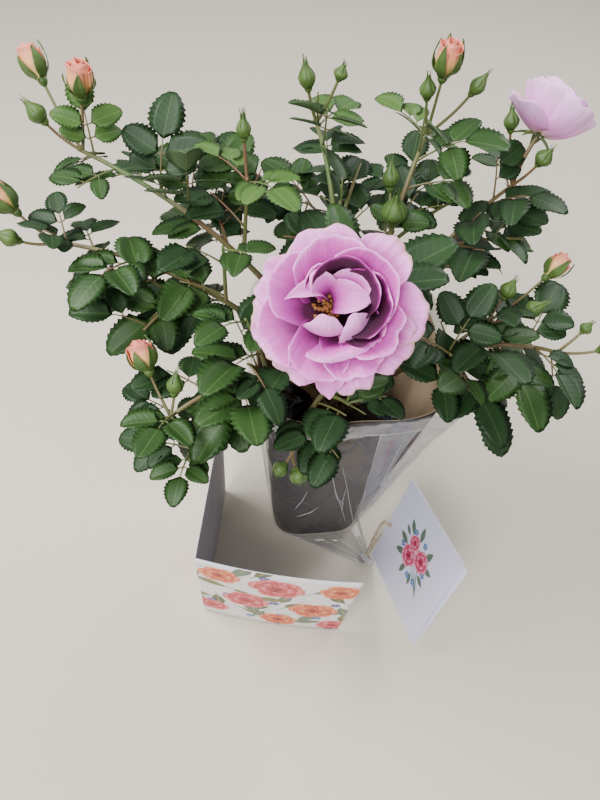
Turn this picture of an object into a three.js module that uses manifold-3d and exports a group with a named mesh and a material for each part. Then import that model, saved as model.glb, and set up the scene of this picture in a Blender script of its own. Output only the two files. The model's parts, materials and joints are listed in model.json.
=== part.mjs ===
// Rose bush in a square pot, in a clear film sleeve over a brown paper one, with a card wrap and a card tag.
// Millimetres, +Z up. The origin is the middle of the pot's underside on the ground, and -Y is the front.
import * as THREE from 'three';
import { mergeVertices } from 'three/addons/utils/BufferGeometryUtils.js';
import Module from 'manifold-3d';

const wasm = await Module();
wasm.setup();

// Clearance kept between pieces that touch.
const GAP = 0.3;

// The pot and what is wrapped round it share one turn about the vertical and one square section.
const WRAP_TURN = 13;
const SQUARENESS = 4;
const POT = { baseHalf: 57, rimHalf: 72, height: 200, wall: 2.2, floor: 3, lipHeight: 14, lipOut: 3.3 };
const COMPOST_TOP = 188;
const LINER = { top: 262, thickness: 1.6, crumple: 9, sides: 28 };
const PAPER = { baseHalf: 60, rimHalf: 90, rim: 352, thickness: 0.8 };
const FILM = { clearance: 0.7, rim: 358, thickness: 0.8, fin: 15, finSpread: 11, hem: 3 };
const TAIL = { length: 122, width: 92, thickness: 1.2, azimuth: -46 };

// The card wrap stands open in an L: one panel in front of the pot and one along its left side.
const CARD = { corner: [-119, -183], front: 172, side: 168, sideTurn: 92, height: 205, thickness: 1, bow: 5 };
// The tag stands on one corner. Its fold and its free edge leave that corner as [azimuth, elevation].
const TAG = {
  side: 138, thickness: 0.8, corner: [90, -78, 3], fold: [66, 61], edge: [-68, 22.5], open: 1.5, slip: 2.5,
  holeShare: 0.46, holeInset: 8, holeRadius: 2.4
};
const TWINE = { radius: 1.3, sides: 6, steps: 26, knot: 3.2 };

// The plant stands on its graft, a knuckle at the top of the compost that every cane leaves by. The canes
// seat on its flats, which lie a little inside its radius.
const TRUNK = { footRadius: 15, waistRadius: 11, knuckleRadius: 22, knuckleHeight: 222, flats: 0.962 };
const CANE = { footRadius: 4.6, forkRadius: 2.8, sides: 6, steps: 7 };
const STEM = { footRadius: 2.7, tipRadius: 1.7, sides: 4, steps: 5 };
const TWIG = { footRadius: 2, tipRadius: 1.4, sides: 3, steps: 3 };
const STALK = { footRadius: 1.5, tipRadius: 1.2, sides: 3, steps: 1 };
const RACHIS = { footRadius: 1.3, tipRadius: 0.9, sides: 3, steps: 1, shortest: 42, longest: 58 };
const LEAFLET = { length: 45, width: 0.76, widest: 0.44, thickness: 1.2, fold: 0.1, apart: 25 };
// Each leaflet of a leaf as its share along the stalk, its hand and its size.
const LEAFLETS = [[0.45, -1, 0.78], [0.47, 1, 0.8], [0.76, -1, 0.94], [0.78, 1, 0.92], [0.98, 0, 1.1]];
const CLEAR_OF_LIMB = 4;
const CLEAR_OF_MASS = 1.2;

// Each bloom faces [azimuth, elevation]. Its hip hangs below its middle and meets the neck of a mass.
const BLOOMS = [
  { name: 'bloom_main', mass: 'centre', at: [-103, 98, 500], face: [-97, 49], radius: 60, rise: 1, sides: 20 },
  { name: 'bloom_side', mass: 'right_back', at: [46, 203, 513], face: [50, 50], radius: 39, rise: 1.7, sides: 14 }
];
const HIP_DROP = 0.34;
const NECK = { footRadius: 2, tipRadius: 1.7, sides: 4, steps: 2 };

// A tip is [azimuth, reach, height] about the pot's upright middle line, and a foot is a cane's place on the
// graft as [azimuth, elevation]. An arch lifts the last third of a limb. Twig 0 of a bud is the main stem.
const MASSES = [
  {
    name: 'left_back', seed: 11, foot: [148, 42], tip: [167, 258, 480], arch: 6, fork: 0.52, leaves: 6,
    twigs: [{ from: 0.08, tip: [160, 112, 492], leaves: 4 }, { from: 0.2, tip: [150, 168, 425], leaves: 4 }],
    buds: [
      { twig: 0, at: [161, 308, 522], length: 33, width: 19 },
      { twig: 0, at: [164, 252, 532], length: 33, width: 20 },
      { twig: 0, at: [168, 287, 508], length: 26, width: 15 },
      { twig: 1, at: [156, 121, 528], length: 24, width: 11 }
    ]
  },
  {
    name: 'left', seed: 23, foot: [197, 42], tip: [181, 262, 432], arch: 26, fork: 0.55, leaves: 6,
    twigs: [{ from: 0.06, tip: [182, 118, 455], leaves: 4 }, { from: 0.25, tip: [198, 186, 398], leaves: 4 }],
    buds: [
      { twig: 0, at: [179, 299, 460], length: 31, width: 19 },
      { twig: 0, at: [184, 293, 446], length: 25, width: 14 }
    ]
  },
  {
    name: 'left_front', seed: 37, foot: [236, 42], tip: [221, 190, 372], arch: 56, fork: 0.58, leaves: 4,
    twigs: [
      { from: 0.04, tip: [204, 102, 414], leaves: 4 },
      { from: 0.1, tip: [225, 118, 408], leaves: 4 },
      { from: 0.4, tip: [229, 188, 348], leaves: 3 }
    ],
    buds: [
      { twig: 0, at: [208, 190, 402], length: 32, width: 20 },
      { twig: 0, at: [215, 172, 388], length: 25, width: 14 }
    ]
  },
  {
    name: 'front', seed: 41, foot: [272, 42], tip: [253, 132, 340], arch: 90, fork: 0.58, leaves: 4,
    twigs: [{ from: 0.1, tip: [272, 92, 384], leaves: 3 }],
    buds: [
      { twig: 0, at: [251, 141, 330], length: 15, width: 13 },
      { twig: 0, at: [258, 139, 328], length: 17, width: 16 }
    ]
  },
  {
    name: 'centre', seed: 53, foot: [270, 74], tip: [258, 66, 466], arch: 4, fork: 0.6, leaves: 5,
    twigs: [{ from: 0.1, tip: [66, 52, 452], leaves: 5 }, { from: 0.15, tip: [135, 72, 455], leaves: 4 }],
    buds: [
      { twig: 1, at: [82, 74, 488], length: 28, width: 14 },
      { twig: 1, at: [68, 44, 480], length: 36, width: 21 }
    ]
  },
  {
    name: 'back', seed: 67, foot: [140, 74], tip: [122, 112, 515], arch: 4, fork: 0.52, leaves: 6,
    twigs: [{ from: 0.12, tip: [97, 118, 465], leaves: 5 }, { from: 0.05, tip: [114, 150, 398], leaves: 5 }],
    buds: [
      { twig: 0, at: [126, 118, 549], length: 27, width: 13 },
      { twig: 0, at: [113, 110, 552], length: 15, width: 11 }
    ]
  },
  {
    name: 'back_right', seed: 71, foot: [30, 74], tip: [73, 132, 500], arch: 4, fork: 0.52, leaves: 5,
    twigs: [{ from: 0.1, tip: [76, 160, 415], leaves: 5 }, { from: 0.1, tip: [54, 132, 448], leaves: 4 }],
    buds: [
      { twig: 0, at: [73, 129, 560], length: 34, width: 20 },
      { twig: 0, at: [77, 124, 540], length: 25, width: 13 },
      { twig: 0, at: [61, 139, 548], length: 25, width: 12 }
    ]
  },
  {
    name: 'right_back', seed: 83, foot: [54, 42], tip: [44, 180, 462], arch: 10, fork: 0.52, leaves: 5,
    twigs: [{ from: 0.06, tip: [28, 112, 425], leaves: 5 }, { from: 0.3, tip: [33, 182, 422], leaves: 4 }],
    buds: [
      { twig: 0, at: [53, 182, 510], length: 25, width: 13 },
      { twig: 0, at: [40, 186, 496], length: 23, width: 15 }
    ]
  },
  {
    name: 'right', seed: 97, foot: [-22, 42], tip: [-3, 188, 392], arch: 34, fork: 0.55, leaves: 5,
    twigs: [
      { from: 0.08, tip: [5, 122, 398], leaves: 4 },
      { from: 0.15, tip: [-28, 122, 380], leaves: 4 },
      { from: 0.04, tip: [-30, 94, 412], leaves: 3 }
    ],
    buds: [
      { twig: 0, at: [2, 204, 412], length: 15, width: 11 },
      { twig: 0, at: [-2, 222, 404], length: 16, width: 11 },
      { twig: 1, at: [18, 182, 430], length: 30, width: 18 },
      { twig: 1, at: [13, 136, 422], length: 24, width: 15 },
      { twig: 1, at: [7, 160, 414], length: 26, width: 15 }
    ]
  }
];

const COLOURS = {
  pot: [0x4a423d, 0.6],
  compost: [0x33261c, 0.95],
  liner: [0x14161a, 0.35],
  paper: [0x8a7262, 0.85],
  film: [0xd9d8dc, 0.12],
  card: [0xf1edee, 0.6],
  twine: [0xa68a62, 0.9],
  bark: [0x6a4a35, 0.8],
  leaf: [0x2c5638, 0.5],
  petal: [0xd3a0cf, 0.55]
};

const UP = new THREE.Vector3(0, 0, 1);
const root = new THREE.Group();

function addPiece(name, geometry, look) {
  const [color, roughness] = COLOURS[look];
  const material = new THREE.MeshStandardMaterial({ color, roughness, metalness: 0 });
  const mesh = new THREE.Mesh(geometry, material);
  mesh.name = name;
  root.add(mesh);
  return mesh;
}

// Polar place about the pot's middle line, angles in degrees.
function polar(azimuth, reach, height) {
  const angle = THREE.MathUtils.degToRad(azimuth);
  return new THREE.Vector3(reach * Math.cos(angle), reach * Math.sin(angle), height);
}

function direction(azimuth, elevation) {
  const lift = THREE.MathUtils.degToRad(elevation);
  return polar(azimuth, Math.cos(lift), Math.sin(lift));
}

// The same whole-number rule gives the same growth every time.
function seeded(seed) {
  let state = seed;
  return (low, high) => {
    state = (state * 16807) % 2147483647;
    return low + (high - low) * state / 2147483647;
  };
}

function toSolid(geometry) {
  const bare = geometry.clone();
  bare.deleteAttribute('normal');
  bare.deleteAttribute('uv');
  const merged = mergeVertices(bare, 1e-4);
  return new wasm.Manifold(new wasm.Mesh({
    numProp: 3,
    vertProperties: new Float32Array(merged.attributes.position.array),
    triVerts: new Uint32Array(merged.index.array)
  }));
}

function toGeometry(solid) {
  const mesh = solid.getMesh();
  const geometry = new THREE.BufferGeometry();
  geometry.setAttribute('position', new THREE.BufferAttribute(mesh.vertProperties, 3));
  geometry.setIndex(new THREE.BufferAttribute(mesh.triVerts, 1));
  geometry.computeVertexNormals();
  return geometry;
}

function fuse(geometries) {
  return toGeometry(geometries.map(toSolid).reduce((whole, piece) => whole.add(piece)));
}

// Moves every vertex of a geometry by a function of its place.
function bend(geometry, move) {
  const place = new THREE.Vector3();
  const spots = geometry.attributes.position;
  for (let i = 0; i < spots.count; i += 1) {
    const moved = move(place.fromBufferAttribute(spots, i));
    spots.setXYZ(i, moved.x, moved.y, moved.z);
  }
  return geometry;
}

// A tapering round limb: a cylinder whose length is bent along a curve, from one share of it to another.
function limb(curve, flat, from, to, size) {
  const cylinder = new THREE.CylinderGeometry(size.tipRadius, size.footRadius, 1, size.sides, size.steps);
  return bend(cylinder, (place) => {
    const share = from + (place.y + 0.5) * (to - from);
    const along = curve.getTangent(share);
    const across = flat.clone().addScaledVector(along, -flat.dot(along)).normalize();
    const over = across.clone().cross(along);
    return curve.getPoint(share).addScaledVector(across, place.x).addScaledVector(over, place.z);
  });
}

// A point on the straight facets that a limb's steps make of its curve.
function facetPoint(curve, from, steps, share) {
  const local = Math.min(0.9999, (share - from) / (1 - from)) * steps;
  const step = Math.floor(local);
  const start = curve.getPoint(from + (1 - from) * step / steps);
  return start.lerp(curve.getPoint(from + (1 - from) * (step + 1) / steps), local - step);
}

// Half width of the square section with round corners, met at an angle.
function squareReach(half, angle) {
  const power = Math.abs(Math.cos(angle)) ** SQUARENESS + Math.abs(Math.sin(angle)) ** SQUARENESS;
  return half / power ** (1 / SQUARENESS);
}

// A closed wall between an inner and an outer surface, both given as reach by angle and share of height.
function wall(sides, steps, outer, inner, height) {
  const ring = [];
  for (let i = 0; i <= steps; i += 1) ring.push([outer, i / steps]);
  for (let i = steps; i >= 0; i -= 1) ring.push([inner, i / steps]);
  const turn = THREE.MathUtils.degToRad(WRAP_TURN);
  const vertices = [];
  const faces = [];
  for (let i = 0; i < sides; i += 1) {
    const angle = 2 * Math.PI * i / sides;
    for (const [reach, share] of ring) {
      const r = reach(angle, share);
      vertices.push(r * Math.cos(angle + turn), r * Math.sin(angle + turn), height(angle, share));
    }
  }
  const count = ring.length;
  for (let i = 0; i < sides; i += 1) {
    for (let j = 0; j < count; j += 1) {
      const here = i * count + j;
      const above = i * count + (j + 1) % count;
      const next = ((i + 1) % sides) * count + j;
      const nextAbove = ((i + 1) % sides) * count + (j + 1) % count;
      faces.push(here, next, nextAbove, here, nextAbove, above);
    }
  }
  const geometry = new THREE.BufferGeometry();
  geometry.setAttribute('position', new THREE.Float32BufferAttribute(vertices, 3));
  geometry.setIndex(faces);
  geometry.computeVertexNormals();
  return geometry;
}

// A round lathe whose section is pushed out to the square with round corners.
function squareLathe(profile, sides) {
  const points = profile.map(([half, height]) => new THREE.Vector2(half, height));
  const lathe = new THREE.LatheGeometry(points, sides);
  const turn = THREE.MathUtils.degToRad(WRAP_TURN);
  return bend(lathe, (place) => {
    const half = Math.hypot(place.x, place.z);
    const angle = Math.atan2(-place.z, place.x);
    const reach = half < 1e-6 ? 0 : squareReach(half, angle);
    return new THREE.Vector3(reach * Math.cos(angle + turn), reach * Math.sin(angle + turn), place.y);
  });
}

function potHalf(height) {
  return POT.baseHalf + (POT.rimHalf - POT.baseHalf) * height / POT.height;
}

function paperHalf(height) {
  return PAPER.baseHalf + (PAPER.rimHalf - PAPER.baseHalf) * height / PAPER.rim;
}

function addPot() {
  const lipFoot = POT.height - POT.lipHeight;
  const profile = [
    [0, 0],
    [POT.baseHalf, 0],
    [potHalf(lipFoot), lipFoot],
    [potHalf(lipFoot) + POT.lipOut, lipFoot],
    [POT.rimHalf + POT.lipOut, POT.height],
    [POT.rimHalf - POT.wall, POT.height],
    [POT.baseHalf - POT.wall, POT.floor],
    [0, POT.floor]
  ];
  addPiece('pot', squareLathe(profile, 24), 'pot');
}

function addCompost() {
  const foot = POT.floor + GAP;
  const slope = (POT.rimHalf - POT.baseHalf) / (POT.height - POT.floor);
  const halfAt = (height) => POT.baseHalf - POT.wall - GAP + slope * (height - POT.floor);
  const profile = [
    [0, foot],
    [halfAt(foot), foot],
    [halfAt(COMPOST_TOP), COMPOST_TOP],
    [0, COMPOST_TOP]
  ];
  addPiece('root_ball', squareLathe(profile, 24), 'compost');
}

// The black bag that holds the root ball stands crumpled out of the pot, gathered in towards the stems.
function addLiner() {
  const seat = POT.height + GAP;
  const half = POT.rimHalf - 2;
  const crumple = (angle, share) => LINER.crumple * share * (
    Math.sin(7 * angle) * 0.6 + Math.sin(11 * angle + 2 * share) * 0.4
  );
  const outer = (angle, share) => squareReach(half, angle) - 16 * share + crumple(angle, share);
  const inner = (angle, share) => outer(angle, share) - LINER.thickness;
  const height = (angle, share) => seat + share * (
    LINER.top - seat + 14 * Math.sin(3 * angle + 1) + 6 * Math.sin(8 * angle)
  );
  addPiece('root_bag', wall(LINER.sides, 2, outer, inner, height), 'liner');
}

function addPaperSleeve() {
  const outer = (angle, share) => squareReach(paperHalf(share * PAPER.rim), angle);
  const inner = (angle, share) => outer(angle, share) - PAPER.thickness;
  const height = (angle, share) => GAP + share * (PAPER.rim - GAP);
  addPiece('paper_sleeve', wall(32, 1, outer, inner, height), 'paper');
}

// The film is a little wider than the paper and has a flat fin along its front right corner.
function filmReach(angle, share) {
  const corner = THREE.MathUtils.degToRad(-45);
  const aside = Math.abs(Math.atan2(Math.sin(angle - corner), Math.cos(angle - corner)));
  const fin = Math.max(0, 1 - aside / THREE.MathUtils.degToRad(FILM.finSpread));
  const wide = FILM.clearance + FILM.hem * Math.max(0, share - 0.8) * 5;
  return squareReach(paperHalf(share * FILM.rim), angle) + wide + fin * FILM.fin * share;
}

function addFilmSleeve() {
  const inner = (angle, share) => filmReach(angle, share);
  const outer = (angle, share) => filmReach(angle, share) + FILM.thickness;
  const height = (angle, share) => GAP + share * (FILM.rim + 4 * Math.sin(4 * angle + 0.6) - GAP);
  addPiece('film_sleeve', wall(32, 3, outer, inner, height), 'film');
}

// The bag's spare film is drawn out flat on the ground to one taped corner, and stops short of the sleeve.
function addFilmTail() {
  const outline = new THREE.Shape();
  outline.moveTo(0, -TAIL.width / 2);
  outline.quadraticCurveTo(TAIL.length * 0.7, -TAIL.width * 0.36, TAIL.length, -5);
  outline.lineTo(TAIL.length, 5);
  outline.quadraticCurveTo(TAIL.length * 0.65, TAIL.width * 0.2, 0, TAIL.width * 0.3);
  outline.closePath();
  const sheet = new THREE.ExtrudeGeometry(outline, { depth: TAIL.thickness, bevelEnabled: false, curveSegments: 5 });
  sheet.rotateZ(THREE.MathUtils.degToRad(TAIL.azimuth));
  sheet.translate(0, 0, GAP);
  const half = PAPER.baseHalf + FILM.clearance + FILM.thickness + GAP;
  const block = squareLathe([[0, -1], [half, -1], [half + 0.5, 5], [0, 5]], 32);
  addPiece('film_tail', toGeometry(toSolid(sheet).subtract(toSolid(block))), 'film');
}

// One folded sheet: the side panel runs back from the corner and the front panel bows forward a little.
function addCardWrap() {
  const corner = new THREE.Vector2(...CARD.corner);
  const back = THREE.MathUtils.degToRad(CARD.sideTurn);
  const outline = new THREE.Shape();
  const sideEnd = corner.clone().add(new THREE.Vector2(Math.cos(back), Math.sin(back)).multiplyScalar(CARD.side));
  const frontEnd = corner.clone().add(new THREE.Vector2(CARD.front, 0));
  outline.moveTo(sideEnd.x, sideEnd.y);
  outline.lineTo(corner.x, corner.y);
  outline.quadraticCurveTo(corner.x + CARD.front / 2, corner.y - 2 * CARD.bow, frontEnd.x, frontEnd.y);
  outline.lineTo(frontEnd.x, frontEnd.y + CARD.thickness);
  outline.quadraticCurveTo(
    corner.x + CARD.front / 2, corner.y - 2 * CARD.bow + CARD.thickness,
    corner.x + CARD.thickness, corner.y + CARD.thickness
  );
  outline.lineTo(sideEnd.x + CARD.thickness, sideEnd.y);
  outline.closePath();
  const geometry = new THREE.ExtrudeGeometry(outline, { depth: CARD.height, bevelEnabled: false, curveSegments: 8 });
  addPiece('card_wrap', geometry, 'card');
}

// Axes of the tag: along its fold, along its free edge, and away from its front.
function tagPlace() {
  const fold = direction(...TAG.fold);
  const edge = direction(...TAG.edge);
  edge.addScaledVector(fold, -edge.dot(fold)).normalize();
  const behind = fold.clone().cross(edge);
  const place = new THREE.Group();
  place.applyMatrix4(new THREE.Matrix4().makeBasis(fold, edge, behind).setPosition(...TAG.corner));
  place.updateMatrixWorld(true);
  return place;
}

function tagLeaf(hole) {
  const leaf = new THREE.BoxGeometry(TAG.side, TAG.side, TAG.thickness);
  leaf.translate(TAG.side / 2, TAG.side / 2, TAG.thickness / 2);
  const punch = new THREE.CylinderGeometry(TAG.holeRadius, TAG.holeRadius, 4, 10).rotateX(Math.PI / 2);
  punch.translate(hole.x, hole.y, 0);
  return toGeometry(toSolid(leaf).subtract(toSolid(punch)));
}

// The tag is a square card folded along one edge. Its back leaf has slipped round the corner the tag stands
// on, so its own hole is set back by that turn to stay in line with the hole in front.
function addTag(place) {
  root.add(place);
  const slip = THREE.MathUtils.degToRad(TAG.slip);
  const hole = new THREE.Vector2(TAG.side * TAG.holeShare, TAG.holeInset);
  const front = addPiece('tag_front', tagLeaf(hole), 'card');
  const back = addPiece('tag_back', tagLeaf(hole.clone().rotateAround(new THREE.Vector2(), -slip)), 'card');
  back.position.z = TAG.thickness + GAP;
  back.rotation.set(THREE.MathUtils.degToRad(TAG.open), 0, slip);
  place.add(front, back);
}

// One loop of twine, knotted on the film's corner, goes up behind the tag, through its hole and down in front.
function addTwine(place) {
  const knot = polar(TAIL.azimuth, TAIL.length - 4, GAP + TAIL.thickness + GAP + TWINE.knot);
  const hole = (along, out, behind) => place.localToWorld(
    new THREE.Vector3(TAG.side * TAG.holeShare + along, TAG.holeInset + out, behind)
  );
  const route = new THREE.CatmullRomCurve3([
    knot,
    hole(-34, -14, 5),
    hole(-10, -7, 7),
    hole(-2, -1, 5.5),
    hole(0, 0, 1),
    hole(-1, -1, -3.2),
    hole(-3, -9, -4.2),
    hole(-24, -16, -2),
    knot
  ]);
  const section = new THREE.Shape();
  section.absarc(0, 0, TWINE.radius, 0, 2 * Math.PI);
  const strand = new THREE.ExtrudeGeometry(section, {
    extrudePath: route, steps: TWINE.steps, bevelEnabled: false, curveSegments: TWINE.sides / 2
  });
  const lump = new THREE.SphereGeometry(TWINE.knot, 6, 4).translate(knot.x, knot.y, knot.z);
  addPiece('twine', fuse([strand, lump]), 'twine');
}

// Bud: a hip, the closed petals over it and a point, turned round the bud's own line.
function budGeometry(base, along, bud) {
  const half = bud.width / 2;
  const profile = [[0, 0], [0.8 * half, 0.16], [half, 0.46], [0.5 * half, 0.84], [0, 1]];
  const points = profile.map(([radius, share]) => new THREE.Vector2(radius, share * bud.length));
  const geometry = new THREE.LatheGeometry(points, 6);
  const turn = new THREE.Quaternion().setFromUnitVectors(new THREE.Vector3(0, 1, 0), along);
  return bend(geometry, (place) => place.clone().applyQuaternion(turn).add(base));
}

// A leaflet is a kite with a raised middle, folded a little along its rib.
function leafletGeometry(leaflet) {
  return bend(new THREE.OctahedronGeometry(1), (place) => {
    const share = Math.abs(place.y) > 0.5 ? (place.y + 1) / 2 : LEAFLET.widest;
    const half = leaflet.length * LEAFLET.width / 2;
    return leaflet.base.clone()
      .addScaledVector(leaflet.along, share * leaflet.length)
      .addScaledVector(leaflet.across, place.x * half)
      .addScaledVector(leaflet.face, place.z * LEAFLET.thickness / 2 + Math.abs(place.x) * half * LEAFLET.fold);
  });
}

// Points that stand for a leaflet where it is tested against limbs, blooms and the next mass.
function leafletPoints(leaflet) {
  const half = leaflet.length * LEAFLET.width / 2;
  const at = (share, side) => leaflet.base.clone()
    .addScaledVector(leaflet.along, share * leaflet.length)
    .addScaledVector(leaflet.across, side * half);
  return [at(0.25, 0), at(LEAFLET.widest, -1), at(LEAFLET.widest, 1), at(0.6, 0), at(1, 0)];
}

// A compound leaf: two pairs of leaflets and an end one on a stalk that leaves the stem and droops.
function compoundLeaf(foot, stemAlong, azimuth, scale, random) {
  const level = new THREE.Vector3().crossVectors(stemAlong, UP);
  if (level.length() < 0.2) level.set(1, 0, 0);
  level.normalize();
  const over = new THREE.Vector3().crossVectors(level, stemAlong);
  const out = level.clone().multiplyScalar(Math.cos(azimuth)).addScaledVector(over, Math.sin(azimuth));
  const length = scale * random(RACHIS.shortest, RACHIS.longest);
  const start = out.clone().addScaledVector(stemAlong, 0.45).addScaledVector(UP, 0.3).normalize();
  const end = start.clone().addScaledVector(UP, -0.42).normalize();
  const bendPoint = foot.clone().addScaledVector(start, length * 0.5);
  const curve = new THREE.QuadraticBezierCurve3(foot, bendPoint, bendPoint.clone().addScaledVector(end, length * 0.5));
  const side = new THREE.Vector3().crossVectors(start, UP).normalize();
  side.addScaledVector(UP, random(-0.3, 0.3)).normalize();
  const leaflets = [];
  for (const [share, hand, size] of LEAFLETS) {
    const along = curve.getTangent(share);
    const heading = along.clone().multiplyScalar(hand === 0 ? 1 : 0.5)
      .addScaledVector(side, hand * 0.9)
      .addScaledVector(UP, random(-0.2, 0.1));
    heading.z *= 0.6;
    heading.normalize();
    const face = new THREE.Vector3().crossVectors(side, along).addScaledVector(UP, 1.2)
      .addScaledVector(side, random(-0.35, 0.35));
    face.addScaledVector(heading, -face.dot(heading)).normalize();
    leaflets.push({
      base: facetPoint(curve, 0, RACHIS.steps, share),
      along: heading,
      face,
      across: new THREE.Vector3().crossVectors(heading, face),
      length: LEAFLET.length * scale * size * random(0.88, 1.12)
    });
  }
  return { curve, side, leaflets };
}

// Curves of one mass: the cane and stem share one curve, and each twig starts on the stem.
function growCurves(mass) {
  const tip = polar(...mass.tip);
  const lean = direction(...mass.foot);
  const knuckle = new THREE.Vector3(0, 0, TRUNK.knuckleHeight);
  const climb = lean.clone().multiplyScalar(18).addScaledVector(UP, 0.42 * (tip.z - TRUNK.knuckleHeight));
  const tilt = climb.clone().normalize().cross(lean).length();
  const foot = knuckle.addScaledVector(lean, TRUNK.knuckleRadius * TRUNK.flats + GAP + CANE.footRadius * tilt);
  const rise = foot.clone().add(climb);
  const over = new THREE.Vector3(0.5 * tip.x, 0.5 * tip.y, foot.z + 0.88 * (tip.z - foot.z) + mass.arch);
  const main = new THREE.CubicBezierCurve3(foot, rise, over, tip);
  const curves = [{ curve: main, from: mass.fork, tip, azimuth: mass.tip[0], leaves: mass.leaves, size: STEM }];
  for (const twig of mass.twigs) {
    const share = mass.fork + (1 - mass.fork) * twig.from;
    const start = facetPoint(main, mass.fork, STEM.steps, share);
    const end = polar(...twig.tip);
    const reach = start.distanceTo(end);
    const middle = start.clone().lerp(end, 0.5).addScaledVector(UP, 0.12 * reach);
    const curve = new THREE.QuadraticBezierCurve3(start, middle, end);
    curves.push({ curve, from: 0, tip: end, azimuth: twig.tip[0] + 7, leaves: twig.leaves, size: TWIG });
  }
  return curves;
}

function samples(curve, from, count) {
  return Array.from({ length: count + 1 }, (_, i) => curve.getPoint(from + (1 - from) * i / count));
}

function nearest(point, places) {
  return Math.min(...places.map((place) => place.distanceTo(point)));
}

const grown = MASSES.map((mass) => {
  const curves = growCurves(mass);
  const buds = mass.buds.map((bud) => {
    const middle = polar(...bud.at);
    const { curve, tip } = curves[bud.twig];
    const start = tip.clone().addScaledVector(curve.getTangent(1), -4);
    const along = middle.clone().sub(start).normalize().addScaledVector(UP, 0.35).normalize();
    return { ...bud, start, along, base: middle.addScaledVector(along, -bud.length / 2) };
  });
  const spine = curves.flatMap(({ curve, from }) => samples(curve, from, 10));
  for (const bud of buds) spine.push(bud.base, bud.base.clone().addScaledVector(bud.along, bud.length / 2));
  const cane = samples(curves[0].curve, 0, 24).slice(0, Math.ceil(24 * mass.fork) + 1);
  return { ...mass, curves, buds, spine, cane };
});

const blooms = BLOOMS.map((bloom) => ({ ...bloom, centre: polar(...bloom.at), look: direction(...bloom.face) }));

function insideBloom(point) {
  return blooms.some((bloom) => {
    const offset = point.clone().sub(bloom.centre);
    const deep = offset.dot(bloom.look);
    const wide = Math.sqrt(Math.max(0, offset.lengthSq() - deep * deep));
    return (wide / (bloom.radius + 6)) ** 2 + (deep / (bloom.radius * 0.62)) ** 2 < 1;
  });
}

function insideSleeve(point) {
  if (point.z > FILM.rim + 9) return false;
  const angle = Math.atan2(point.y, point.x) - THREE.MathUtils.degToRad(WRAP_TURN);
  const share = Math.min(1, point.z / FILM.rim);
  return Math.hypot(point.x, point.y) < filmReach(angle, share) + 5;
}

function pointFits(point, mass) {
  if (insideBloom(point) || insideSleeve(point)) return false;
  const own = nearest(point, mass.spine);
  return grown.every((other) => {
    if (nearest(point, other.cane) < CANE.footRadius + CLEAR_OF_LIMB) return false;
    return other === mass || nearest(point, other.spine) > own + CLEAR_OF_MASS;
  });
}

function leafletMiddle(leaflet) {
  return leaflet.base.clone().addScaledVector(leaflet.along, 0.5 * leaflet.length);
}

function leafletFits(leaflet, mass, middles) {
  return nearest(leafletMiddle(leaflet), middles) > LEAFLET.apart
    && leafletPoints(leaflet).every((point) => pointFits(point, mass));
}

// The share of a main curve that lies the gap beyond the cane's tip.
function pastCane(curve, fork) {
  const step = 0.01;
  return fork + step * GAP / curve.getPoint(fork).distanceTo(curve.getPoint(fork + step));
}

// The neck leaves the tip of the main stem and ends the gap short of the bloom's hip.
function neck(mass, bloom) {
  const { curve, tip } = mass.curves[0];
  const start = tip.clone().addScaledVector(curve.getTangent(1), -4);
  const end = bloom.centre.clone().addScaledVector(bloom.look, -HIP_DROP * bloom.radius - GAP);
  const bow = end.clone().addScaledVector(bloom.look, -0.5 * start.distanceTo(end));
  const line = new THREE.QuadraticBezierCurve3(start, bow, end);
  return limb(line, polar(mass.tip[0] + 90, 1, 0), 0, 1, NECK);
}

function growMass(mass) {
  const random = seeded(mass.seed * 7919);
  const pieces = [];
  const middles = [];
  for (const { curve, from, azimuth, leaves, size } of mass.curves) {
    const start = curve === mass.curves[0].curve ? pastCane(curve, from) : from;
    pieces.push(limb(curve, polar(azimuth + 90, 1, 0), start, 1, size));
    for (let i = 0; i < leaves; i += 1) {
      const place = 0.1 + 0.82 * i / Math.max(1, leaves - 1);
      const share = from + (1 - from) * place;
      const scale = 1 - 0.38 * place * place;
      const foot = facetPoint(curve, from, size.steps, share);
      const stemAlong = curve.getTangent(share);
      let leaf = null;
      let fitting = [];
      for (let attempt = 0; attempt < 4 && fitting.length < 5; attempt += 1) {
        const turned = 2.4 * i + 1.5 * attempt + random(-0.4, 0.4);
        const trial = compoundLeaf(foot, stemAlong, turned, scale, random);
        const stalkFits = [0.5, 0.75, 1].every((share) => pointFits(trial.curve.getPoint(share), mass));
        const kept = stalkFits
          ? trial.leaflets.filter((leaflet) => leafletFits(leaflet, mass, middles))
          : [];
        if (kept.length > fitting.length) {
          leaf = trial;
          fitting = kept;
        }
      }
      if (fitting.length < 2) continue;
      pieces.push(limb(leaf.curve, leaf.side, 0, 1, RACHIS));
      for (const leaflet of fitting) {
        pieces.push(leafletGeometry(leaflet));
        middles.push(leafletMiddle(leaflet));
      }
    }
  }
  for (const bloom of blooms.filter((bloom) => bloom.mass === mass.name)) pieces.push(neck(mass, bloom));
  for (const bud of mass.buds) {
    const reach = bud.start.distanceTo(bud.base);
    const sunk = bud.base.clone().addScaledVector(bud.along, 2);
    const bow = sunk.clone().addScaledVector(bud.along, -0.5 * reach);
    const curve = new THREE.QuadraticBezierCurve3(bud.start, bow, sunk);
    pieces.push(limb(curve, polar(mass.tip[0] + 90, 1, 0), 0, 1, STALK));
    pieces.push(budGeometry(bud.base, bud.along, bud));
  }
  return pieces;
}

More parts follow.
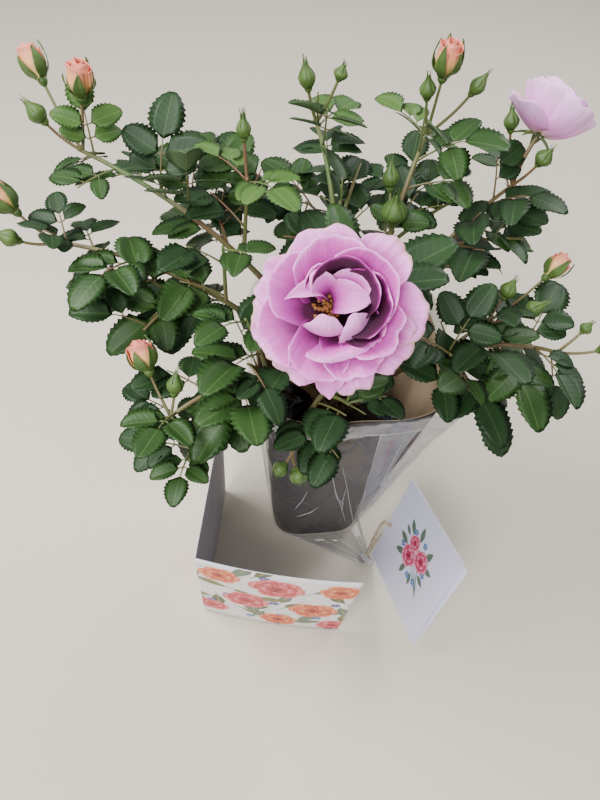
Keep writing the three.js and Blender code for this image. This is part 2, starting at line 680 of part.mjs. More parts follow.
// The trunk is cut flat at the compost and swells to the graft that the canes leave.
function addTrunk() {
  const foot = COMPOST_TOP + GAP;
  const radius = TRUNK.knuckleRadius;
  const points = [
    [0, foot], [TRUNK.footRadius, foot], [TRUNK.waistRadius, foot + 8],
    [radius * 0.82, TRUNK.knuckleHeight - radius * 0.57], [radius, TRUNK.knuckleHeight],
    [radius * 0.82, TRUNK.knuckleHeight + radius * 0.57], [radius * 0.42, TRUNK.knuckleHeight + radius * 0.9],
    [0, TRUNK.knuckleHeight + radius]
  ].map(([r, z]) => new THREE.Vector2(r, z));
  const geometry = new THREE.LatheGeometry(points, 12);
  geometry.rotateX(Math.PI / 2);
  addPiece('trunk', geometry, 'bark');
}

function addCanesAndMasses() {
  for (const mass of grown) {
    const flat = polar(mass.tip[0] + 90, 1, 0);
    const size = { ...CANE, tipRadius: CANE.forkRadius };
    addPiece(`cane_${mass.name}`, limb(mass.curves[0].curve, flat, 0, mass.fork, size), 'bark');
    addPiece(`foliage_${mass.name}`, fuse(growMass(mass)), 'leaf');
  }
}

// One whorl of petals is a bowl with a lobed rim. Its inner edge is sunk in the hip at the bloom's middle.
function whorl(lobes, phase, radius, depth, rimLift, sides) {
  const steps = 2;
  const reach = (angle, share) => 3 + (radius - 3) * share * (1 - 0.1 * share * (1 - Math.cos(lobes * angle + phase)));
  const lift = (angle, share) => depth * share ** 1.6 - rimLift * share ** 4
    + 0.05 * radius * share * Math.sin(2 * lobes * angle + 1.7 * phase);
  const vertices = [];
  const faces = [];
  const count = 2 * (steps + 1);
  for (let i = 0; i < sides; i += 1) {
    const angle = 2 * Math.PI * i / sides;
    for (let j = 0; j < count; j += 1) {
      const under = j <= steps;
      const share = under ? j / steps : (count - 1 - j) / steps;
      const r = reach(angle, share);
      const z = lift(angle, share) + (under ? 0 : 1.3);
      vertices.push(r * Math.cos(angle), r * Math.sin(angle), z);
    }
  }
  for (let i = 0; i < sides; i += 1) {
    const next = (i + 1) % sides;
    for (let j = 0; j < count; j += 1) {
      const up = (j + 1) % count;
      faces.push(i * count + j, next * count + j, next * count + up);
      faces.push(i * count + j, next * count + up, i * count + up);
    }
  }
  const geometry = new THREE.BufferGeometry();
  geometry.setAttribute('position', new THREE.Float32BufferAttribute(vertices, 3));
  geometry.setIndex(faces);
  return geometry;
}

function addBloom(bloom) {
  const r = bloom.radius;
  const { sides } = bloom;
  const hip = new THREE.LatheGeometry([
    new THREE.Vector2(0, -HIP_DROP * r), new THREE.Vector2(0.1 * r, -0.3 * r), new THREE.Vector2(0.15 * r, -0.1 * r),
    new THREE.Vector2(0.12 * r, 0.22 * r), new THREE.Vector2(0, 0.26 * r)
  ], 8);
  hip.rotateX(Math.PI / 2);
  const whorls = [
    [7, 0.4, r, 0.12 * r, 0.1 * r, sides],
    [6, 1.9, 0.93 * r, 0.34 * r, 0.06 * r, sides],
    [5, 3.1, 0.72 * r, 0.58 * r, 0, Math.round(0.75 * sides)],
    [4, 0.9, 0.42 * r, 0.6 * r, 0, Math.round(0.5 * sides)]
  ].map(([lobes, phase, radius, depth, rimLift, count], i) => (
    whorl(lobes, phase, radius, depth * bloom.rise, rimLift, count).translate(0, 0, -0.18 * r + 0.07 * r * i)
  ));
  const turn = new THREE.Quaternion().setFromUnitVectors(UP, bloom.look);
  const pieces = [hip, ...whorls].map((piece) => piece.applyQuaternion(turn).translate(...bloom.centre));
  addPiece(bloom.name, fuse(pieces), 'petal');
}

addPot();
addCompost();
addLiner();
addPaperSleeve();
addFilmSleeve();
addFilmTail();
addCardWrap();
const tagAxes = tagPlace();
addTag(tagAxes);
addTwine(tagAxes);
addTrunk();
addCanesAndMasses();
blooms.forEach(addBloom);

export default root;
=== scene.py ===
import json
import math

import bpy
import numpy as np
from mathutils import Matrix, Vector

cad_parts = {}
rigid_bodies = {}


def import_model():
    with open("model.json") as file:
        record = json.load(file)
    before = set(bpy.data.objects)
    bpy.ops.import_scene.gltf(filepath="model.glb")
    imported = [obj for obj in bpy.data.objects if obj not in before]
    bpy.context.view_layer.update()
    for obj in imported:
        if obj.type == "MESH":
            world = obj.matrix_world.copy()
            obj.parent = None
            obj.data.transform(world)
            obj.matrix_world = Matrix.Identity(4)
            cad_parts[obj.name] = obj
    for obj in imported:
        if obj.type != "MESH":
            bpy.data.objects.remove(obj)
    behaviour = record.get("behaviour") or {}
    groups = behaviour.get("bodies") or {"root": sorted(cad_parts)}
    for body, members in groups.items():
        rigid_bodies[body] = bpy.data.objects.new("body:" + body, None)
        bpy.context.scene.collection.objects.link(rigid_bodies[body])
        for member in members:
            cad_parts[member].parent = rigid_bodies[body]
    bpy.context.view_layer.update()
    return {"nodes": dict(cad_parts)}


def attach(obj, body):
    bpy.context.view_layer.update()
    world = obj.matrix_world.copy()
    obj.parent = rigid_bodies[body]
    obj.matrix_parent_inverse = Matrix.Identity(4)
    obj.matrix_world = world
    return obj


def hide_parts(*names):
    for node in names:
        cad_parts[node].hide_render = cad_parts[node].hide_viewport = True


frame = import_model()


# Floor, light and camera: a pale floor under an even sky and three wide lamps, the strongest above at the
# left. The camera is 0.8 m up in front of the plant, looks steeply down at it and is a little tilted.
FLOOR_HALF = 4.0
FLOOR_LEVEL = -0.0003
FLOOR_COLOUR = (0.72, 0.65, 0.54)
SKY_COLOUR = (0.93, 0.96, 1.0)
SKY_STRENGTH = 0.5
LAMPS_AIM = Vector((0, 0, 0.35))
CAMERA_PLACE = (-0.0376, -0.368, 0.8)
CAMERA_PITCH = math.radians(56.7)
CAMERA_ROLL = math.radians(-8.4)
CAMERA_LENS = 27
CAMERA_SENSOR = 36


def add_object(name, data):
    made = bpy.data.objects.new(name, data)
    bpy.context.scene.collection.objects.link(made)
    return made


def make_finish(name, colour, roughness, **sockets):
    finish = bpy.data.materials.new(name)
    finish.use_nodes = True
    shader = finish.node_tree.nodes["Principled BSDF"]
    shader.inputs["Base Color"].default_value = (*colour, 1)
    shader.inputs["Roughness"].default_value = roughness
    for socket, value in sockets.items():
        shader.inputs[socket.replace("_", " ")].default_value = value
    return finish


floor_mesh = bpy.data.meshes.new("floor")
floor_mesh.from_pydata(
    [(x * FLOOR_HALF, y * FLOOR_HALF, FLOOR_LEVEL) for x, y in ((-1, -1), (1, -1), (1, 1), (-1, 1))], [],
    [(0, 1, 2, 3)],
)
floor_mesh.materials.append(make_finish("pale floor", FLOOR_COLOUR, 0.85))
add_object("floor", floor_mesh)

sky = bpy.data.worlds.new("even sky")
bpy.context.scene.world = sky
sky.use_nodes = True
sky.node_tree.nodes["Background"].inputs["Color"].default_value = (*SKY_COLOUR, 1)
sky.node_tree.nodes["Background"].inputs["Strength"].default_value = SKY_STRENGTH
for lamp_name, place, power, size in (
    ("wide lamp", (-1.0, 0.1, 1.7), 34, 0.7),
    ("back lamp", (0.9, 1.2, 1.5), 20, 0.8),
    ("front lamp", (-0.45, -1.1, 1.5), 27, 0.6),
):
    lamp = add_object(lamp_name, bpy.data.lights.new(lamp_name, "AREA"))
    lamp.data.energy = power
    lamp.data.size = size
    lamp.location = place
    lamp.rotation_mode = "QUATERNION"
    lamp.rotation_quaternion = (LAMPS_AIM - Vector(place)).to_track_quat("-Z", "Y")

ahead = np.array([0.0, math.cos(CAMERA_PITCH), -math.sin(CAMERA_PITCH)])
level_right = np.array([1.0, 0.0, 0.0])
level_down = np.cross(ahead, level_right)
camera_right = level_right * math.cos(CAMERA_ROLL) + level_down * math.sin(CAMERA_ROLL)
camera_up = level_right * math.sin(CAMERA_ROLL) - level_down * math.cos(CAMERA_ROLL)
camera = add_object("camera", bpy.data.cameras.new("camera"))
camera.data.sensor_width = CAMERA_SENSOR
camera.data.lens = CAMERA_LENS
camera.matrix_world = Matrix.Translation(CAMERA_PLACE) @ Matrix(
    [[camera_right[i], camera_up[i], -ahead[i]] for i in range(3)]
).to_4x4()
bpy.context.scene.camera = camera


# Pot: a square nursery pot with round corners, blow-moulded in recycled brown plastic. It is the CAD's own
# solid. What is wrapped round it shares its turn and its square section.
WRAP_TURN = math.radians(13)
SQUARENESS = 4
MOTTLE_FROM = 0.3
MOTTLE_TO = 0.7
GRAIN_DETAIL = 4
GRAIN_STRENGTH = 0.6


# Links an output to a socket, or sets the socket to a value.
def feed(tree, socket, value):
    if isinstance(value, bpy.types.NodeSocket):
        tree.links.new(value, socket)
    else:
        socket.default_value = value


# Adds a node to a tree. Its inputs are given in their order or by name.
def add_node(tree, kind, *inputs, settings=(), **named):
    node = tree.nodes.new(kind)
    for setting, value in dict(settings).items():
        setattr(node, setting, value)
    for number, value in enumerate(inputs):
        feed(tree, node.inputs[number], value)
    for socket, value in named.items():
        feed(tree, node.inputs[socket.replace("_", " ")], value)
    return node


# A colour ramp. A new one already has two stops, so further ones are added after those.
def add_ramp(tree, factor, stops):
    ramp = add_node(tree, "ShaderNodeValToRGB", factor)
    for number, (position, colour) in enumerate(stops):
        if number < 2:
            element = ramp.color_ramp.elements[number]
            element.position = position
        else:
            element = ramp.color_ramp.elements.new(position)
        element.color = (*colour, 1)
    return ramp.outputs["Color"]


# Gives a finish its colour and its relief, whose depth is in metres.
def paint(finish, colour, height, strength, depth):
    tree = finish.node_tree
    shader = tree.nodes["Principled BSDF"]
    relief = add_node(tree, "ShaderNodeBump", Strength=strength, Distance=depth, Height=height)
    feed(tree, shader.inputs["Base Color"], colour)
    feed(tree, shader.inputs["Normal"], relief.outputs["Normal"])
    return finish


def add_noise(tree, place, scale, detail):
    return add_node(tree, "ShaderNodeTexNoise", Vector=place, Scale=scale, Detail=detail).outputs["Fac"]


# Mottles a finish between two colours and raises a grain on it, both read from the object's own place.
def add_grain(finish, low, high, mottle_scale, grain_scale, depth, stretch=(1, 1, 1)):
    tree = finish.node_tree
    place = add_node(tree, "ShaderNodeTexCoord").outputs["Object"]
    stretched = add_node(tree, "ShaderNodeMapping", Vector=place, Scale=stretch).outputs["Vector"]
    mottle = add_noise(tree, stretched, mottle_scale, GRAIN_DETAIL)
    grain = add_noise(tree, stretched, grain_scale, GRAIN_DETAIL)
    colour = add_ramp(tree, mottle, [(MOTTLE_FROM, low), (MOTTLE_TO, high)])
    return paint(finish, colour, grain, GRAIN_STRENGTH, depth)


# Gives one of the CAD's own solids its finish.
def dress(node, finish):
    frame["nodes"][node].material_slots[0].material = finish


# How far a square with round corners reaches from its middle, by its half width and the angle.
def square_reach(half, angle):
    power = np.abs(np.cos(angle)) ** SQUARENESS + np.abs(np.sin(angle)) ** SQUARENESS
    return half / power ** (1 / SQUARENESS)


pot_plastic = add_grain(
    make_finish("recycled pot plastic", (0.05, 0.04, 0.035), 0.5),
    (0.045, 0.036, 0.03), (0.075, 0.06, 0.05), 30, 900, 0.0002,
)
dress("pot", pot_plastic)


# Root ball: moist peat-free compost with bits of bark in it, filled to just under the pot's rim. It is the
# CAD's own solid.
compost = add_grain(
    make_finish("moist compost", (0.03, 0.02, 0.014), 0.95),
    (0.012, 0.008, 0.005), (0.07, 0.043, 0.026), 260, 420, 0.002,
)
dress("root_ball", compost)


# Root bag: the thin black bag that the root ball was lifted in. It stands out of the pot, gathered in
# towards the stems, and is creased all over.
BAG_FOOT = 200.3
BAG_TOP = 262
BAG_HALF = 70
BAG_THICKNESS = 0.5
BAG_DRAWN_IN = 16
BAG_GATHERS = 9
MM = 0.001


def round_points(angle, reach, height):
    return np.stack([reach * np.cos(angle), reach * np.sin(angle), height], axis=-1)


# Angles round the wrapping and shares up it, for a wall's grid.
def wall_marks(columns, rows, start=0.0):
    return np.meshgrid(np.linspace(0, 2 * math.pi, columns, endpoint=False), np.linspace(start, 1, rows))


def wall_points(angle, reach, height):
    return round_points(angle + WRAP_TURN, reach, height)


# A thin sheet laid over a grid of points, closed all round. Returns vertices, faces, their UVs and their
# sides, with 0 for the front, 1 for the back and 2 for the edge.
def sheet_mesh(grid, thickness, wrap=False):
    rows, columns = grid.shape[:2]
    if wrap:
        across = np.roll(grid, -1, 1) - np.roll(grid, 1, 1)
    else:
        across = np.gradient(grid, axis=1)
    normal = np.cross(across, np.gradient(grid, axis=0))
    normal /= np.linalg.norm(normal, axis=2, keepdims=True) + 1e-12
    half = normal * thickness / 2
    vertices = np.concatenate([(grid + half).reshape(-1, 3), (grid - half).reshape(-1, 3)])
    spans = columns if wrap else columns - 1
    faces = []
    uvs = []
    sides = []

    def add(corners, side):
        faces.append([layer * rows * columns + i * columns + j % columns for layer, i, j in corners])
        uvs.extend((j / spans, i / (rows - 1)) for _, i, j in corners)
        sides.append(side)

    for i in range(rows - 1):
        for j in range(spans):
            add([(0, i, j), (0, i, j + 1), (0, i + 1, j + 1), (0, i + 1, j)], 0)
            add([(1, i, j), (1, i + 1, j), (1, i + 1, j + 1), (1, i, j + 1)], 1)
    last = rows - 1
    for j in range(spans):
        add([(0, 0, j + 1), (0, 0, j), (1, 0, j), (1, 0, j + 1)], 2)
        add([(0, last, j), (0, last, j + 1), (1, last, j + 1), (1, last, j)], 2)
    if not wrap:
        for i in range(last):
            add([(0, i, 0), (0, i + 1, 0), (1, i + 1, 0), (1, i, 0)], 2)
            add([(0, i + 1, spans), (0, i, spans), (1, i, spans), (1, i + 1, spans)], 2)
    return vertices, faces, uvs, sides


# Hands a finished object over as a piece that rides on the plant's one body.
def set_piece(made, replaced=()):
    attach(made, "root")
    if replaced:
        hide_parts(*replaced)


# Joins meshes, whose points are in millimetres, into one piece.
def make_piece(name, meshes, finishes, replaced=(), smooth=True):
    vertices = []
    faces = []
    uvs = []
    indices = []
    count = 0
    for part_vertices, part_faces, part_uvs, part_sides in meshes:
        vertices.append(np.asarray(part_vertices) * MM)
        faces.extend([[k + count for k in face] for face in part_faces])
        uvs.extend(part_uvs)
        indices.extend(part_sides)
        count += len(part_vertices)
    mesh = bpy.data.meshes.new(name)
    mesh.from_pydata(np.concatenate(vertices).tolist(), [], faces)
    for finish in finishes:
        mesh.materials.append(finish)
    top = len(finishes) - 1
    mesh.polygons.foreach_set("material_index", [min(index, top) for index in indices])
    mesh.polygons.foreach_set("use_smooth", [smooth] * len(faces))
    layer = mesh.uv_layers.new(name="UVMap")
    layer.data.foreach_set("uv", np.array(uvs, np.float32).ravel())
    mesh.update()
    set_piece(add_object(name, mesh), replaced)


# Ridges that cross a sheet at random slants, each a soft-sided line, as creases in thin film and bags are.
def creases(draw, along, up, count, width, height, slant):
    field = np.zeros_like(along)
    for _ in range(count):
        start = draw.uniform(along.min(), along.max())
        level = draw.uniform(up.min(), up.max())
        lean = draw.normal(0, slant)
        reach = draw.uniform(15, 60)
        aside = (along - start) * math.cos(lean) - (up - level) * math.sin(lean)
        far = (along - start) * math.sin(lean) + (up - level) * math.cos(lean)
        wide = width * draw.uniform(0.6, 1.5)
        field += height * draw.uniform(0.3, 1) * np.exp(-np.abs(aside / wide) - (far / reach) ** 4)
    return field


# The film is mottled from black to a pale blue-grey, and the pale blue-grey is painted glints, highlights on
# its creases.
bag_film = add_grain(
    make_finish("black bag film", (0.012, 0.013, 0.016), 0.22, Coat_Weight=1.0, Coat_Roughness=0.09),
    (0.012, 0.015, 0.022), (0.22, 0.25, 0.32), 110, 260, 0.0016,
)
draw = np.random.default_rng(5)
angle, share = wall_marks(300, 44)
bag_gathers = BAG_GATHERS * share * (np.sin(7 * angle) * 0.6 + np.sin(11 * angle + 2 * share) * 0.4)
bag_reach = square_reach(BAG_HALF, angle) - BAG_DRAWN_IN * share + bag_gathers
for count, width, height, slant in ((150, 3.4, 5.5, 1.2), (260, 1.3, 1.8, 1.3)):
    bag_reach -= creases(draw, angle * BAG_HALF, share * 70, count, width, height, slant)
bag_rim = BAG_TOP + 8 + 12 * np.sin(3 * angle + 1) + 5 * np.sin(8 * angle)
bag_height = BAG_FOOT + share * (bag_rim - BAG_FOOT)
bag_grid = wall_points(angle, bag_reach, bag_height)
make_piece(
    "bag_crumpled", [sheet_mesh(bag_grid, BAG_THICKNESS, wrap=True)], [bag_film], ["root_bag"]
)


# Paper sleeve: a square tapering tube of brown kraft paper that the pot stands in. It is folded from one
# sheet, so its walls bow a little between the corners and its rim is cut straight.
PAPER_BASE = 60
PAPER_RIM = 90
PAPER_TOP = 352
PAPER_FOOT = 0.3
PAPER_THICKNESS = 0.6
PAPER_CLEAR = 0.2
PAPER_BOW = 1.2


def paper_half(height):
    return PAPER_BASE + (PAPER_RIM - PAPER_BASE) * height / PAPER_TOP


# The outside is far darker than the lining, a painted shade for the paper seen in shadow through the film.
# The lining has the paper's own tan.
shaded_outer_paper = add_grain(
    make_finish("kraft paper", (0.23, 0.17, 0.13), 0.8),
    (0.034, 0.026, 0.023), (0.06, 0.045, 0.04), 14, 700, 0.0002, (1, 1, 0.3),
)
inner_paper = add_grain(
    make_finish("kraft paper lining", (0.3, 0.22, 0.16), 0.8),
    (0.52, 0.37, 0.24), (0.66, 0.5, 0.34), 12, 700, 0.0002, (1, 1, 0.3),
)
angle, share = wall_marks(160, 30)
paper_height = PAPER_FOOT + share * (PAPER_TOP - PAPER_FOOT)
paper_reach = square_reach(paper_half(paper_height), angle) - PAPER_THICKNESS / 2 - PAPER_CLEAR
paper_bow = PAPER_BOW * share * (0.5 + 0.5 * np.sin(9 * angle + 3 * share))
paper_reach -= paper_bow * (0.5 + 0.5 * np.cos(4 * angle))
paper_grid = wall_points(angle, paper_reach, paper_height)
make_piece(
    "sleeve_paper", [sheet_mesh(paper_grid, PAPER_THICKNESS, wrap=True)], [shaded_outer_paper, inner_paper],
    ["paper_sleeve"],
)


# Film sleeve: clear cellophane drawn up over the paper, with a hem that stands off the rim and a flat fin
# where its two sides are sealed along the front right corner. It is creased from the corner outwards.
FILM_TOP = 358
FILM_CLEARANCE = 0.7
FILM_LIFT = 0.5
FILM_FIN = 15
FILM_FIN_SPREAD = math.radians(11)
FILM_FIN_CORNER = math.radians(-45)
FILM_HEM = 3
FILM_HEM_FROM = 0.8
FILM_FOOT = 0.3
FILM_THICKNESS = 0.25


def film_reach(angle, share):
    aside = np.abs(np.arctan2(np.sin(angle - FILM_FIN_CORNER), np.cos(angle - FILM_FIN_CORNER)))
    fin = np.maximum(0, 1 - aside / FILM_FIN_SPREAD)
    wide = FILM_CLEARANCE + FILM_HEM * np.maximum(0, share - FILM_HEM_FROM) * 5
    return square_reach(paper_half(share * FILM_TOP), angle) + wide + fin * FILM_FIN * share


def film_rim_wave(angle):
    return 4 * np.sin(4 * angle + 0.6)


clear_film = make_finish(
    "clear film", (0.2, 0.2, 0.22), 0.08, Alpha=0.16, IOR=1.5, Coat_Weight=1.0, Coat_Roughness=0.04
)
draw = np.random.default_rng(8)
angle, share = wall_marks(300, 90)
film_height = FILM_FOOT + share * (FILM_TOP + film_rim_wave(angle) - FILM_FOOT)
film_out = film_reach(angle, share) + FILM_LIFT
film_out += creases(draw, angle * 75, share * FILM_TOP, 230, 2.4, 1.5, 0.5)
film_out += 1.2 * np.maximum(0, share - 0.82) * 5.5 * (0.5 + 0.5 * np.sin(23 * angle + 2 * np.sin(5 * angle)))
film_grid = wall_points(angle, film_out, film_height)
make_piece(
    "sleeve_film", [sheet_mesh(film_grid, FILM_THICKNESS, wrap=True)], [clear_film],
    ["film_sleeve"],
)


# Creases of the film in white strips, partly whitening where it has been folded and no longer clears, and
# partly painted highlights along the folds. They run along the fin, round the hem and across the walls in
# broken lines.
CREASE_RADIUS = 0.32
CREASE_LIFT = 0.9
CREASE_SIDES = 5
CREASE_WANDER = 0.12
CREASES_LOOSE = 14

crease_highlight_finish = add_grain(
    make_finish("whitened film crease", (0.9, 0.9, 0.92), 0.3, Alpha=0.62),
    (0.82, 0.82, 0.85), (0.95, 0.95, 0.96), 200, 600, 0.0001,
)
draw = np.random.default_rng(14)
# A route's stops are its degrees round the wall and its share up it.
crease_routes = [[(-45, 0.03), (-45, 0.3), (-45, 0.6), (-45, 0.99)], [(-34, 0.1), (-35, 0.5), (-34, 0.98)]]
for start, level in ((-160, 0.93), (-60, 0.92), (50, 0.93), (140, 0.92)):
    crease_routes.append([(start + 11 * k, level + 0.012 * draw.uniform(-1, 1)) for k in range(10)])
crease_routes += [
    [(-62, 0.9), (-55, 0.55), (-50, 0.06)], [(-92, 0.7), (-70, 0.34), (-51, 0.06)],
    [(-112, 0.9), (-90, 0.5), (-64, 0.14)], [(-70, 0.62), (-60, 0.36), (-53, 0.2)],
]
for _ in range(CREASES_LOOSE):
    around = draw.uniform(0, 360)
    level = draw.uniform(0.15, 0.75)
    climb = draw.uniform(0.1, 0.24)
    sway = draw.uniform(-14, 14)
    crease_routes.append([
        (around, level), (around + sway, level + climb / 2), (around + 1.5 * sway, level + climb)
    ])


def unit(vector):
    return vector / np.linalg.norm(vector)


# Two directions square to a path at each of its points, carried along it without a twist.
def path_frames(path):
    ahead_steps = np.gradient(path, axis=0)
    ahead_steps /= np.linalg.norm(ahead_steps, axis=1, keepdims=True)
    first = np.cross(ahead_steps[0], [0.31, 0.83, 0.46])
    frames = []
    for step in ahead_steps:
        first = unit(first - first @ step * step)
        frames.append((first, np.cross(step, first)))
    return frames


# A closed tube along a path. Radius may vary along it, and swell is a share of it by row and side.
def tube_mesh(path, radius, sides, swell=None):
    path = np.asarray(path)
    rows = len(path)
    radius = np.broadcast_to(radius, rows)
    turns = np.linspace(0, 2 * math.pi, sides, endpoint=False)
    rings = np.empty((rows, sides, 3))
    for i, (first, second) in enumerate(path_frames(path)):
        reach = radius[i] * (1 if swell is None else 1 + swell[i])
        rings[i] = path[i] + np.outer(np.cos(turns) * reach, first) + np.outer(np.sin(turns) * reach, second)
    faces = []
    uvs = []
    for i in range(rows - 1):
        for j in range(sides):
            k = (j + 1) % sides
            faces.append([i * sides + j, i * sides + k, (i + 1) * sides + k, (i + 1) * sides + j])
            low, high = i / (rows - 1), (i + 1) / (rows - 1)
            uvs.extend([(j / sides, low), ((j + 1) / sides, low), ((j + 1) / sides, high), (j / sides, high)])
    faces.append(list(range(sides))[::-1])
    faces.append([(rows - 1) * sides + j for j in range(sides)])
    uvs.extend([(0.5, 0)] * sides + [(0.5, 1)] * sides)
    return rings.reshape(-1, 3), faces, uvs, [0] * len(faces)


def film_place(degrees, share):
    around = math.radians(degrees)
    reach = float(film_reach(np.array(around), share)) + CREASE_LIFT + FILM_LIFT
    rise = FILM_LIFT + share * (FILM_TOP - 2)
    return (reach * math.cos(around + WRAP_TURN), reach * math.sin(around + WRAP_TURN), rise)


crease_meshes = []
for route in crease_routes:
    marks = np.linspace(0, len(route) - 1, 9 * len(route))
    degrees = np.interp(marks, range(len(route)), [stop[0] for stop in route])
    shares = np.interp(marks, range(len(route)), [stop[1] for stop in route])
    taper = CREASE_RADIUS * (0.35 + np.sin(np.linspace(0.15, math.pi - 0.15, len(marks))))
    path = np.array([film_place(*stop) for stop in zip(degrees, shares)])
    crease_meshes.append(tube_mesh(path + draw.normal(0, CREASE_WANDER, path.shape), taper, CREASE_SIDES))


# Folds where the film lies double, and its hem. Each fold is a patch laid between four places on the wall,
# and it bulges off the film below. Its edges are crease strips too. Patches and hem are painted whiter than
# the clear film, as highlights on the folds.
HEM_FROM = 0.925
HEM_LIFT = 2.6

fold_highlight_finish = add_grain(
    make_finish(
        "doubled film", (0.7, 0.7, 0.75), 0.1, Alpha=0.2, IOR=1.5, Coat_Weight=1.0, Coat_Roughness=0.05
    ),
    (0.5, 0.5, 0.56), (0.8, 0.8, 0.86), 40, 200, 0.0008,
)
# A fold's corners, each by its degrees round the wall and its share up it.
fold_corners = [
    ((-52, 0.04), (-50, 0.06), (-58, 0.93), (-78, 0.93)), ((-51, 0.1), (-49, 0.12), (-46, 0.5), (-55, 0.58)),
    ((-56, 0.3), (-54, 0.32), (-48, 0.93), (-53, 0.93)), ((-38, 0.1), (-36, 0.12), (-26, 0.8), (-33, 0.86)),
    ((42, 0.06), (44, 0.08), (40, 0.74), (30, 0.7)), ((88, 0.2), (90, 0.2), (98, 0.84), (84, 0.8)),
    ((137, 0.06), (139, 0.08), (144, 0.8), (136, 0.76)), ((196, 0.2), (198, 0.2), (204, 0.88), (192, 0.84)),
]
fold_meshes = []
fold_along, fold_up = np.meshgrid(np.linspace(0, 1, 14), np.linspace(0, 1, 22))
for corners in fold_corners:
    low_left, low_right, high_right, high_left = np.array(corners, dtype=float)
    grid = np.empty(fold_along.shape + (3,))
    for row, column in np.ndindex(fold_along.shape):
        a, b = fold_along[row, column], fold_up[row, column]
        spot = (low_left * (1 - a) + low_right * a) * (1 - b) + (high_left * (1 - a) + high_right * a) * b
        swell = 1 + 0.4 * math.sin(9 * a + 5 * b)
        bulge = 0.4 + 1.6 * math.sin(math.pi * a) * math.sin(math.pi * b) * swell
        place = np.array(film_place(*spot))
        place[:2] *= 1 + bulge / np.linalg.norm(place[:2])
        grid[row, column] = place
    fold_meshes.append(sheet_mesh(grid, FILM_THICKNESS))
    for start, end in zip(corners, corners[1:] + corners[:1]):
        path = [film_place(*(np.array(start) * (1 - t) + np.array(end) * t)) for t in np.linspace(0, 1, 12)]
        crease_meshes.append(tube_mesh(path, CREASE_RADIUS * 0.9, CREASE_SIDES))
angle, share = wall_marks(300, 12, start=HEM_FROM)
hem_wave = 0.8 * np.sin(31 * angle + 3 * np.sin(4 * angle)) * np.sin(30 * share)
hem_out = film_reach(angle, share) + HEM_LIFT + hem_wave
hem_out += creases(draw, angle * 90, share * FILM_TOP, 150, 1.6, 1.2, 1.2)
hem_height = share * FILM_TOP + 0.75 * film_rim_wave(angle)
fold_meshes.append(sheet_mesh(wall_points(angle, hem_out, hem_height), FILM_THICKNESS, wrap=True))
make_piece("film_creases", crease_meshes, [crease_highlight_finish])
make_piece("film_folds", fold_meshes, [fold_highlight_finish])


# Film end: the bag's spare film, drawn out on the ground in flat folds from the pot's foot to one corner,
# where it is bunched up white and the twine ties it.
END_LENGTH = 122
END_AZIMUTH = -46
END_ROOT = (math.radians(-118), math.radians(-14))
END_HALF = 6
END_FOLDS = 4.5
END_CLEARANCE = 1.4

end_turn = math.radians(END_AZIMUTH)
end_point = END_LENGTH * np.array([math.cos(end_turn), math.sin(end_turn)])
end_aside = np.array([-math.sin(end_turn), math.cos(end_turn)])


# Share runs from the pot's foot to the corner, and side from 0 at the left edge to 1 at the right one.
def end_place(side, share):
    around = END_ROOT[0] + side * (END_ROOT[1] - END_ROOT[0])
    reach = float(film_reach(np.array(around - WRAP_TURN), 0)) + END_CLEARANCE
    root = reach * np.array([math.cos(around), math.sin(around)])
    tip = end_point + end_aside * END_HALF * (2 * side - 1)
    plan = root * (1 - share) + tip * share
    ridge = 1 - abs((side * END_FOLDS) % 1 * 2 - 1)
    tall = 0.5 + 3.2 * math.sin(math.pi * min(1, share + 0.1))
    rise = 0.7 + tall * ridge * math.sin(math.pi * side) ** 0.5
    return (plan[0], plan[1], rise)


end_grid = np.array([
    [end_place(side, share) for side in np.linspace(1, 0, 91)] for share in np.linspace(0, 1, 40)
])
make_piece("film_corner", [sheet_mesh(end_grid, FILM_THICKNESS)], [clear_film], ["film_tail"])
# The strips along the end's edges and fold ridges share the creases' white, partly whitened film and partly
# painted highlights on the folds.
white_meshes = []
for side in (0, 1, *((k + 0.5) / END_FOLDS for k in range(int(END_FOLDS)))):
    path = np.array([end_place(side, share) for share in np.linspace(0.04, 0.97, 30)]) + [0, 0, 0.35]
    white_meshes.append(tube_mesh(path, 0.42, CREASE_SIDES))
# The bunched film, by its share of the end's length, its height and its radius.
bunch = np.array([
    (0.9, 2.6, 1.6), (0.93, 4.4, 3.0), (0.96, 5.2, 3.6), (1.0, 4.8, 2.6), (1.03, 6.2, 4.2), (1.06, 7.4, 5.0)
])
bunch_path = np.column_stack([np.outer(bunch[:, 0], end_point), bunch[:, 1]])
turns = np.linspace(0, 2 * math.pi, 40, endpoint=False)
bunch_swell = 0.3 * np.sin(6 * turns[None, :] + 0.4 * np.arange(len(bunch))[:, None])
white_meshes.append(tube_mesh(bunch_path, bunch[:, 2], len(turns), bunch_swell))
make_piece("film_corner_white", white_meshes, [crease_highlight_finish])


# Card wrap: one sheet of board, printed outside and plain lilac-grey inside, folded once and stood on its
# edge beside the pot. Its side panel runs back from the fold and its front panel bows forward.
CARD_CORNER = np.array([-119.0, -183.0])
CARD_FRONT = 172
CARD_SIDE = 168
CARD_SIDE_TURN = math.radians(92)
CARD_HEIGHT = 205
CARD_THICKNESS = 0.9
CARD_BOW = 5
CARD_END = 0.6
FOLD_REACH = 1


# The card's front line in plan, by length along the sheet from the free end of the side panel.
def card_line(length):
    back = np.array([math.cos(CARD_SIDE_TURN), math.sin(CARD_SIDE_TURN)])
    if length <= CARD_SIDE:
        return CARD_CORNER + back * (CARD_SIDE - length)
    share = min(1, (length - CARD_SIDE) / CARD_FRONT)
    start = CARD_CORNER
    end = CARD_CORNER + np.array([CARD_FRONT, 0])
    middle = CARD_CORNER + np.array([CARD_FRONT / 2, -2 * CARD_BOW])
    return (1 - share) ** 2 * start + 2 * share * (1 - share) * middle + share ** 2 * end


